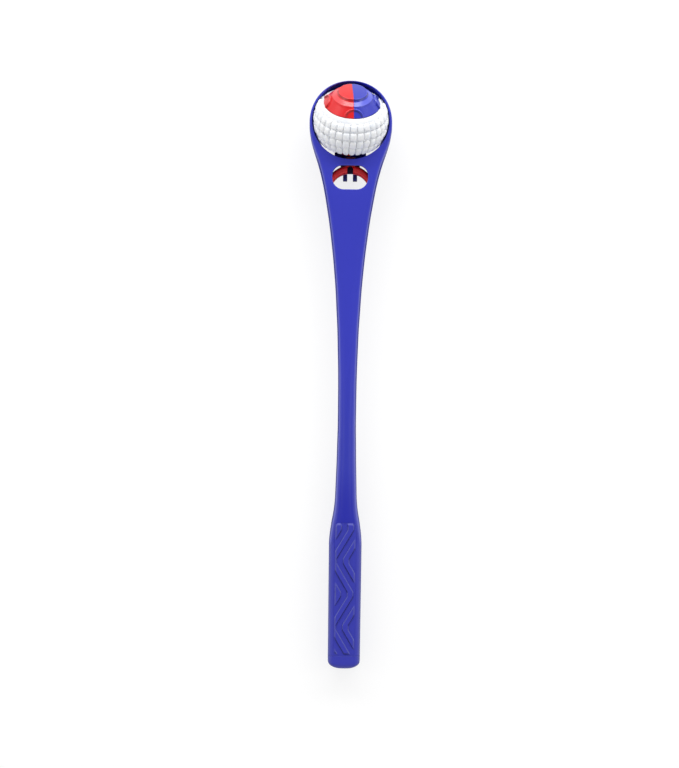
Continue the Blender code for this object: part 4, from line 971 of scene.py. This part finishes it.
def makeScrews():
    # one screw turned in the mesh, set on four points by a geometry tree
    head, shank, flat, edge = screw["head"] / 2, screw["shank"] / 2, screw["headFlat"], screw["headEdge"]
    profile = [(0, -screw["headHeight"])]
    profile += [(head * (flat + (1 - flat) * sin(t)), -screw["headHeight"] * (edge + (1 - edge) * cos(t)))
                for t in np.linspace(0, pi / 2, 8)]
    profile += [(head, 0), (shank, 0), (shank, screw["length"] - shank), (0, screw["length"])]
    pattern = turned("screwPattern", profile, 32)
    half = screw["socket"] / 2
    carve(pattern, block("socket", (-half, -half, -screw["headHeight"] - overrun),
                         (half, half, screw["socketDepth"] - screw["headHeight"])))
    tree, graph, wire = newTree("screwRow", [("Screw", 'NodeSocketObject'), ("Size", 'NodeSocketFloat'),
                                             ("Material", 'NodeSocketMaterial')])
    shape = graph.add("GeometryNodeObjectInfo", {"Object": wire["Screw"]}, output="Geometry")
    size = graph.point(wire["Size"], wire["Size"], wire["Size"])
    row = graph.add("GeometryNodeInstanceOnPoints", {"Points": wire["Geometry"], "Instance": shape, "Scale": size})
    endTree(graph, row, wire["Material"])
    points = [(0, tipY - fromTip, parting(fromTip) - screw["clamp"]) for fromTip in screwPlaces]
    made = bake(emptyPiece("shellScrews", points), tree, {"Screw": pattern, "Size": 1.0, "Material": metalLook})
    bpy.data.objects.remove(pattern)
    dress(made, metalLook, "thrower", [f"shell_screw_{k}" for k in range(1, 5)], 35.0, False)


makeScrews()

tread = {"columns": 32, "rows": 4, "firstLatitude": 19.25, "rowStep": 13.4, "rowGrowth": 0.55, "rowTaller": 1.1,
         "rowGap": 0.4, "lastRow": 1.2, "depth": 0.0021, "knobFill": 0.995, "roundness": 3.0, "floorDip": 0.0003,
         "lip": 0.0007, "lipLow": 26.2, "lipFall": 2.0, "lipCurve": 0.7, "lipRound": 1.6, "lipSink": 0.0002,
         "lipTop": 4.5, "lipCrown": 0.00012, "steps": 192}


def knobTree():
    # rounded knobs on points: a cube's grid pushed out to a soft block, turned to face outwards
    inputs = [("Height", 'NodeSocketFloat'), ("Roundness", 'NodeSocketFloat'), ("Material", 'NodeSocketMaterial')]
    tree, graph, wire = newTree("treadKnobs", inputs)
    cube = graph.add("GeometryNodeMeshCube", {"Size": (2.0, 2.0, 2.0), "Vertices X": 7, "Vertices Y": 7,
                                              "Vertices Z": 5})
    x, y, z = graph.add("GeometryNodeInputPosition").parts()
    power = wire["Roundness"]
    spread = (abs(x) ** power + abs(y) ** power + abs(z) ** power) ** power.maths('POWER', -1.0)
    pushed = graph.point(x / spread, y / spread, z / spread * wire["Height"])
    knob = graph.add("GeometryNodeSetPosition", {"Geometry": cube, "Position": pushed})

    def named(label):
        return graph.add("GeometryNodeInputNamedAttribute", {"Name": label}, {"data_type": 'FLOAT_VECTOR'})
    facing = graph.add("FunctionNodeAlignRotationToVector", {"Vector": named("facing")}, {"axis": 'Z'})
    turnedTo = graph.add("FunctionNodeAlignRotationToVector", {"Rotation": facing, "Vector": named("east")},
                         {"axis": 'X', "pivot_axis": 'Z'})
    rows = graph.add("GeometryNodeInstanceOnPoints", {"Points": wire["Geometry"], "Instance": knob,
                                                      "Rotation": turnedTo, "Scale": named("girth")})
    endTree(graph, rows, wire["Material"])
    return tree


def makeBelt():
    floor, top = ballRadius - tread["depth"], ballRadius
    lip, lipStart = coreRadius + tread["lip"], coreRadius - tread["lipSink"]
    high, low, fall = ballSet["beltLatitude"], tread["lipLow"], tread["lipFall"]
    # section of the ring as latitude and radius: inner wall, rounded lip, then the floor that the knobs stand on
    section = [(high, beltInner), (high, lipStart)]
    section += [(high - tread["lipRound"] * (1 - cos(t)), lipStart + (lip - lipStart) * sin(t))
                for t in np.linspace(0.2, pi / 2, 7)]
    section += [(high - tread["lipTop"], lip + tread["lipCrown"]), (low + fall, lip)]
    section += [(low + fall * cos(t), floor + (lip - floor) * max(cos(t), 0.0)**tread["lipCurve"])
                for t in np.linspace(0.25, pi / 2, 7)]
    section += [(latitude, floor) for latitude in np.linspace(low - fall, -high + 1.0, 18)]
    section += [(-high, floor - tread["floorDip"]), (-high, beltInner)]
    section += [(latitude, beltInner) for latitude in np.linspace(-high, high, 16)[1:-1]]
    ring = loft("ballBelt", [[onSphere(radians(latitude), 2 * pi * s / tread["steps"], radius)
                              for latitude, radius in section] for s in range(tread["steps"])], None, True)
    spots, facing, east, girth = [], [], [], []
    for row in range(tread["rows"]):
        latitude = radians(tread["firstLatitude"] - tread["rowStep"] * row - tread["rowGrowth"] * row * row)
        tall = radians(tread["rowStep"] + tread["rowTaller"] * row - tread["rowGap"]) * floor / 2
        if row == tread["rows"] - 1:   # the last row reaches over the belt's edge
            latitude, tall = latitude - radians(tread["lastRow"]), tall + radians(tread["lastRow"]) * floor
        for column in range(tread["columns"]):
            turn = 2 * pi * column / tread["columns"] - pi / 2
            out = Vector(onSphere(latitude, turn))
            wide = pi / tread["columns"] * floor * cos(latitude)
            spots.append(out * floor)
            facing.append(out)
            east.append(Vector((-sin(turn), cos(turn), 0)))
            girth.append(Vector((wide * tread["knobFill"], tall * tread["knobFill"], top - floor)))
    knobs = emptyPiece("treadKnobs", spots)
    for label, values in (("facing", facing), ("east", east), ("girth", girth)):
        attribute = knobs.data.attributes.new(label, 'FLOAT_VECTOR', 'POINT')
        attribute.data.foreach_set("vector", [part for value in values for part in value])
    bake(knobs, knobTree(), {"Height": 1.0, "Roundness": tread["roundness"], "Material": treadLook})
    work = bmesh.new()
    work.from_mesh(ring.data)
    work.from_mesh(knobs.data)
    bmesh.ops.transform(work, matrix=ballPlace, verts=work.verts)
    work.to_mesh(ring.data)
    work.free()
    bpy.data.objects.remove(knobs)
    dress(ring, treadLook, "ball", ["ball_belt"], 60.0, False)


makeBelt()

# disc, foot of its wall, shelf and flank as shares of the core's radius: out from the pole, and above the middle
dome = {"disc": (0.414, 0.958), "foot": (0.4440, 0.87), "shelf": (0.5775, 0.813), "flank": (0.812, 0.560),
        "boss": 0.292, "soft": 0.0006, "crown": 0.0005, "discShare": 0.93, "flankStart": 0.08,
        "fillet": ((-0.0002, 0.0004), (0.0005, -0.0001)), "shelfRise": 0.0007, "seatMargin": 0.6,
        "bossRim": 0.0013, "bossRise": 0.0008, "bossFloor": -0.0006, "bossSoft": (0.0002, -0.0003),
        "floorSoft": 0.0006, "splitGroove": 0.00018, "splitWidth": 0.00035, "splitHalf": 0.00004}


def domeCurve():
    # section of a dome as latitude and radius: crowned disc, its wall, shelf and flank, with softened corners
    (disc, discTop), (foot, footTop), (shelf, shelfTop), (low, lowTop) = [
        [share * coreRadius for share in dome[part]] for part in ("disc", "foot", "shelf", "flank")]
    soft = dome["soft"]
    line = [(disc * s, discTop + dome["crown"] * (1 - s * s)) for s in np.linspace(0, dome["discShare"], 12)]
    line += [(disc - soft * 0.3, discTop - soft * 0.2), (disc, discTop - soft)]
    line += [(foot + out, footTop + up) for out, up in dome["fillet"]]
    line += [(shelf - soft, shelfTop), (shelf, shelfTop - soft / 2)]
    edge, edgeTop = shelf + soft, shelfTop - dome["shelfRise"] - soft
    line += [(edge + (low - edge) * t, edgeTop + (lowTop - edgeTop) * t)
             for t in [0.0] + list(np.linspace(dome["flankStart"], 1.0, 14))]
    for repeat in range(3):   # cut the corners
        cut = [line[0]]
        for (a, b), (c, d) in zip(line, line[1:]):
            cut += [(a * 0.75 + c * 0.25, b * 0.75 + d * 0.25), (a * 0.25 + c * 0.75, b * 0.25 + d * 0.75)]
        line = cut + [line[-1]]
    latitudes = [degrees(atan2(z, max(r, 0.0))) for r, z in line]
    radii = [sqrt(r * r + z * z) for r, z in line]
    return np.array(latitudes[::-1]), np.array(radii[::-1])


domeLatitudes, domeRadii = domeCurve()


def coreSurface(latitude, longitude):
    # distance from the ball's centre, in one direction
    lat, lon = radians(latitude), radians(longitude)
    if abs(latitude) < ballSet["beltLatitude"] + dome["seatMargin"]:
        return coreRadius - ballSet["seatDepth"]
    radius = float(np.interp(abs(latitude), domeLatitudes, domeRadii))
    way = Vector(onSphere(lat, lon))
    bossLat = radians(ballSet["beltLatitude"]) * (1 if latitude > 0 else -1)
    nearest = max(way.dot(Vector(onSphere(bossLat, q))) for q in (0, pi / 2, pi, -pi / 2))
    away = np.arccos(min(nearest, 1.0)) * coreRadius
    boss = dome["boss"] * coreRadius
    floorEdge = boss - dome["bossRim"]
    raised = smoothStep(*[boss + soft for soft in dome["bossSoft"]], away)
    inner = smoothStep(floorEdge, floorEdge - dome["floorSoft"], away)
    if raised > 0:
        lift = raised * (dome["bossRise"] + (dome["bossFloor"] - dome["bossRise"]) * inner)
        radius = max(radius, coreRadius + lift)
    off = abs(cos(lat) * cos(lon)) * radius / dome["splitWidth"]
    return radius - dome["splitGroove"] * max(1 - off, 0.0)**2


# the core's mesh in degrees: fine rows down to the belt's seat, and columns that crowd at the split
core = {"rowStep": 0.5, "seatEdge": 34, "seatRows": 12, "splitTurns": [0.0, 0.12, 0.25, 0.4, 0.6, 0.9, 1.4]}


def makeCore(name, node, side, look):
    upper = [90 - core["rowStep"] * k for k in range(111)]
    rows = upper + list(np.linspace(core["seatEdge"], -core["seatEdge"], core["seatRows"]))
    rows += [-latitude for latitude in reversed(upper)]
    columns = core["splitTurns"] + list(np.arange(2.0, 178.1, 1.0))
    columns += [180 - turn for turn in reversed(core["splitTurns"])]
    start = -90 if side > 0 else 90
    wall = coreRadius - ballSet["coreWall"]
    points = []
    for layer in (0, 1):
        for latitude in rows:
            for turn in columns:
                radius = wall if layer else coreSurface(latitude, start + turn)
                x, y, z = onSphere(radians(latitude), radians(start + turn), radius)
                points.append((x + side * dome["splitHalf"], y, z))
    wide, size = len(columns), len(columns) * len(rows)
    faces = [(base + r * wide + c, base + r * wide + c + 1, base + (r + 1) * wide + c + 1, base + (r + 1) * wide + c)
             for base in (0, size) for r in range(len(rows) - 1) for c in range(wide - 1)]
    for c in (0, wide - 1):
        faces += [(r * wide + c, (r + 1) * wide + c, size + (r + 1) * wide + c, size + r * wide + c)
                  for r in range(len(rows) - 1)]
    made = addMesh(name, points, faces, ballPlace)
    dress(made, look, "ball", [node], 60.0, False)


redLook = glossLook("glossRedDome", domeRed, ballAxis)
blueLook = glossLook("glossBlueDome", domeBlue, ballAxis)
makeCore("ballCoreRed", "ball_core_red", -1, redLook)
makeCore("ballCoreBlue", "ball_core_blue", 1, blueLook)
print("lever, screws and ball made")

for node in ("lever_pin_left", "lever_pin_right", "lever_spring"):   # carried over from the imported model
    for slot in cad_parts[node].material_slots:
        slot.material = metalLook

# floor, light and camera
studio = {"floor": 0.26, "floorReach": 9.0, "bounce": 0.42, "glow": 0.745, "zenith": 0.30, "horizon": 0.95,
          "lightAim": (0, 0.08, 0.02), "cameraPlace": (-0.0067, -0.0061, 1.235), "cameraTurn": 0.745,
          "metresPerPixel": 0.00084, "imageWidth": 679, "planeDistance": 1.2, "sensor": 36.0}
# each light's place, size and power
lamps = {"keyLight": ((0.05, 1.25, 1.05), (2.6, 0.45), 24.0), "leftLight": ((-1.15, 0.05, 0.75), (0.35, 1.3), 2.4),
         "rightLight": ((1.15, 0.05, 0.75), (0.35, 1.3), 2.4)}


def makeFloor():
    far = studio["floorReach"]
    made = addMesh("floor", [(-far, -far, 0), (far, -far, 0), (far, far, 0), (-far, far, 0)], [(0, 1, 2, 3)])
    look, graph, shader = finish("paleFloor", {"Roughness": 0.9, "Specular IOR Level": 0.1,
                                               "Emission Color": (1.0, 1.0, 1.0, 1.0)})
    camera, glossy, clear = [graph.add("ShaderNodeLightPath", output=label)
                             for label in ("Is Camera Ray", "Is Glossy Ray", "Is Transmission Ray")]
    seen = (camera + glossy + clear).atMost(1.0)
    bounce, shown = [colour((studio[part],) * 3) for part in ("bounce", "floor")]
    feed(graph, shader, "Base Color", graph.mix(seen, bounce, shown))
    feed(graph, shader, "Emission Strength", seen * studio["glow"])
    made.data.materials.append(look)


def makeLight(name, place, size, power):
    lamp = bpy.data.lights.new(name, 'AREA')
    lamp.shape, lamp.energy = 'RECTANGLE', power
    lamp.size, lamp.size_y = size
    made = newObject(name, lamp)
    made.location = place
    aim = Vector(studio["lightAim"]) - Vector(place)
    made.rotation_euler = aim.to_track_quat('-Z', 'Y').to_euler()


def makeWorld():
    world = bpy.data.worlds.new("softRoom")
    bpy.context.scene.world = world
    world.use_nodes = True
    graph = Graph(world.node_tree)
    way = graph.add("ShaderNodeTexCoord", output="Generated")
    strength = way.parts()[2].step(0.35, 1.0) * (studio["zenith"] - studio["horizon"]) + studio["horizon"]
    seen = graph.add("ShaderNodeLightPath", output="Is Camera Ray")
    strength = strength * (1 - seen) + seen   # the backdrop itself is plain white
    shown = world.node_tree.nodes["Background"]
    shown.inputs["Color"].default_value = (1.0, 1.0, 1.0, 1.0)
    world.node_tree.links.new(strength.socket, shown.inputs["Strength"])


def makeCamera():
    lens = bpy.data.cameras.new("camera")
    made = newObject("camera", lens)
    made.location = studio["cameraPlace"]
    made.rotation_euler = (0, 0, radians(studio["cameraTurn"]))
    lens.sensor_fit, lens.sensor_width = 'HORIZONTAL', studio["sensor"]
    lens.lens = studio["sensor"] * studio["planeDistance"] / (studio["imageWidth"] * studio["metresPerPixel"])
    bpy.context.scene.camera = made


makeFloor()
for name, (place, size, power) in lamps.items():
    makeLight(name, place, size, power)
makeWorld()
makeCamera()
bpy.context.scene.view_settings.view_transform = 'Standard'

print("scene ready")
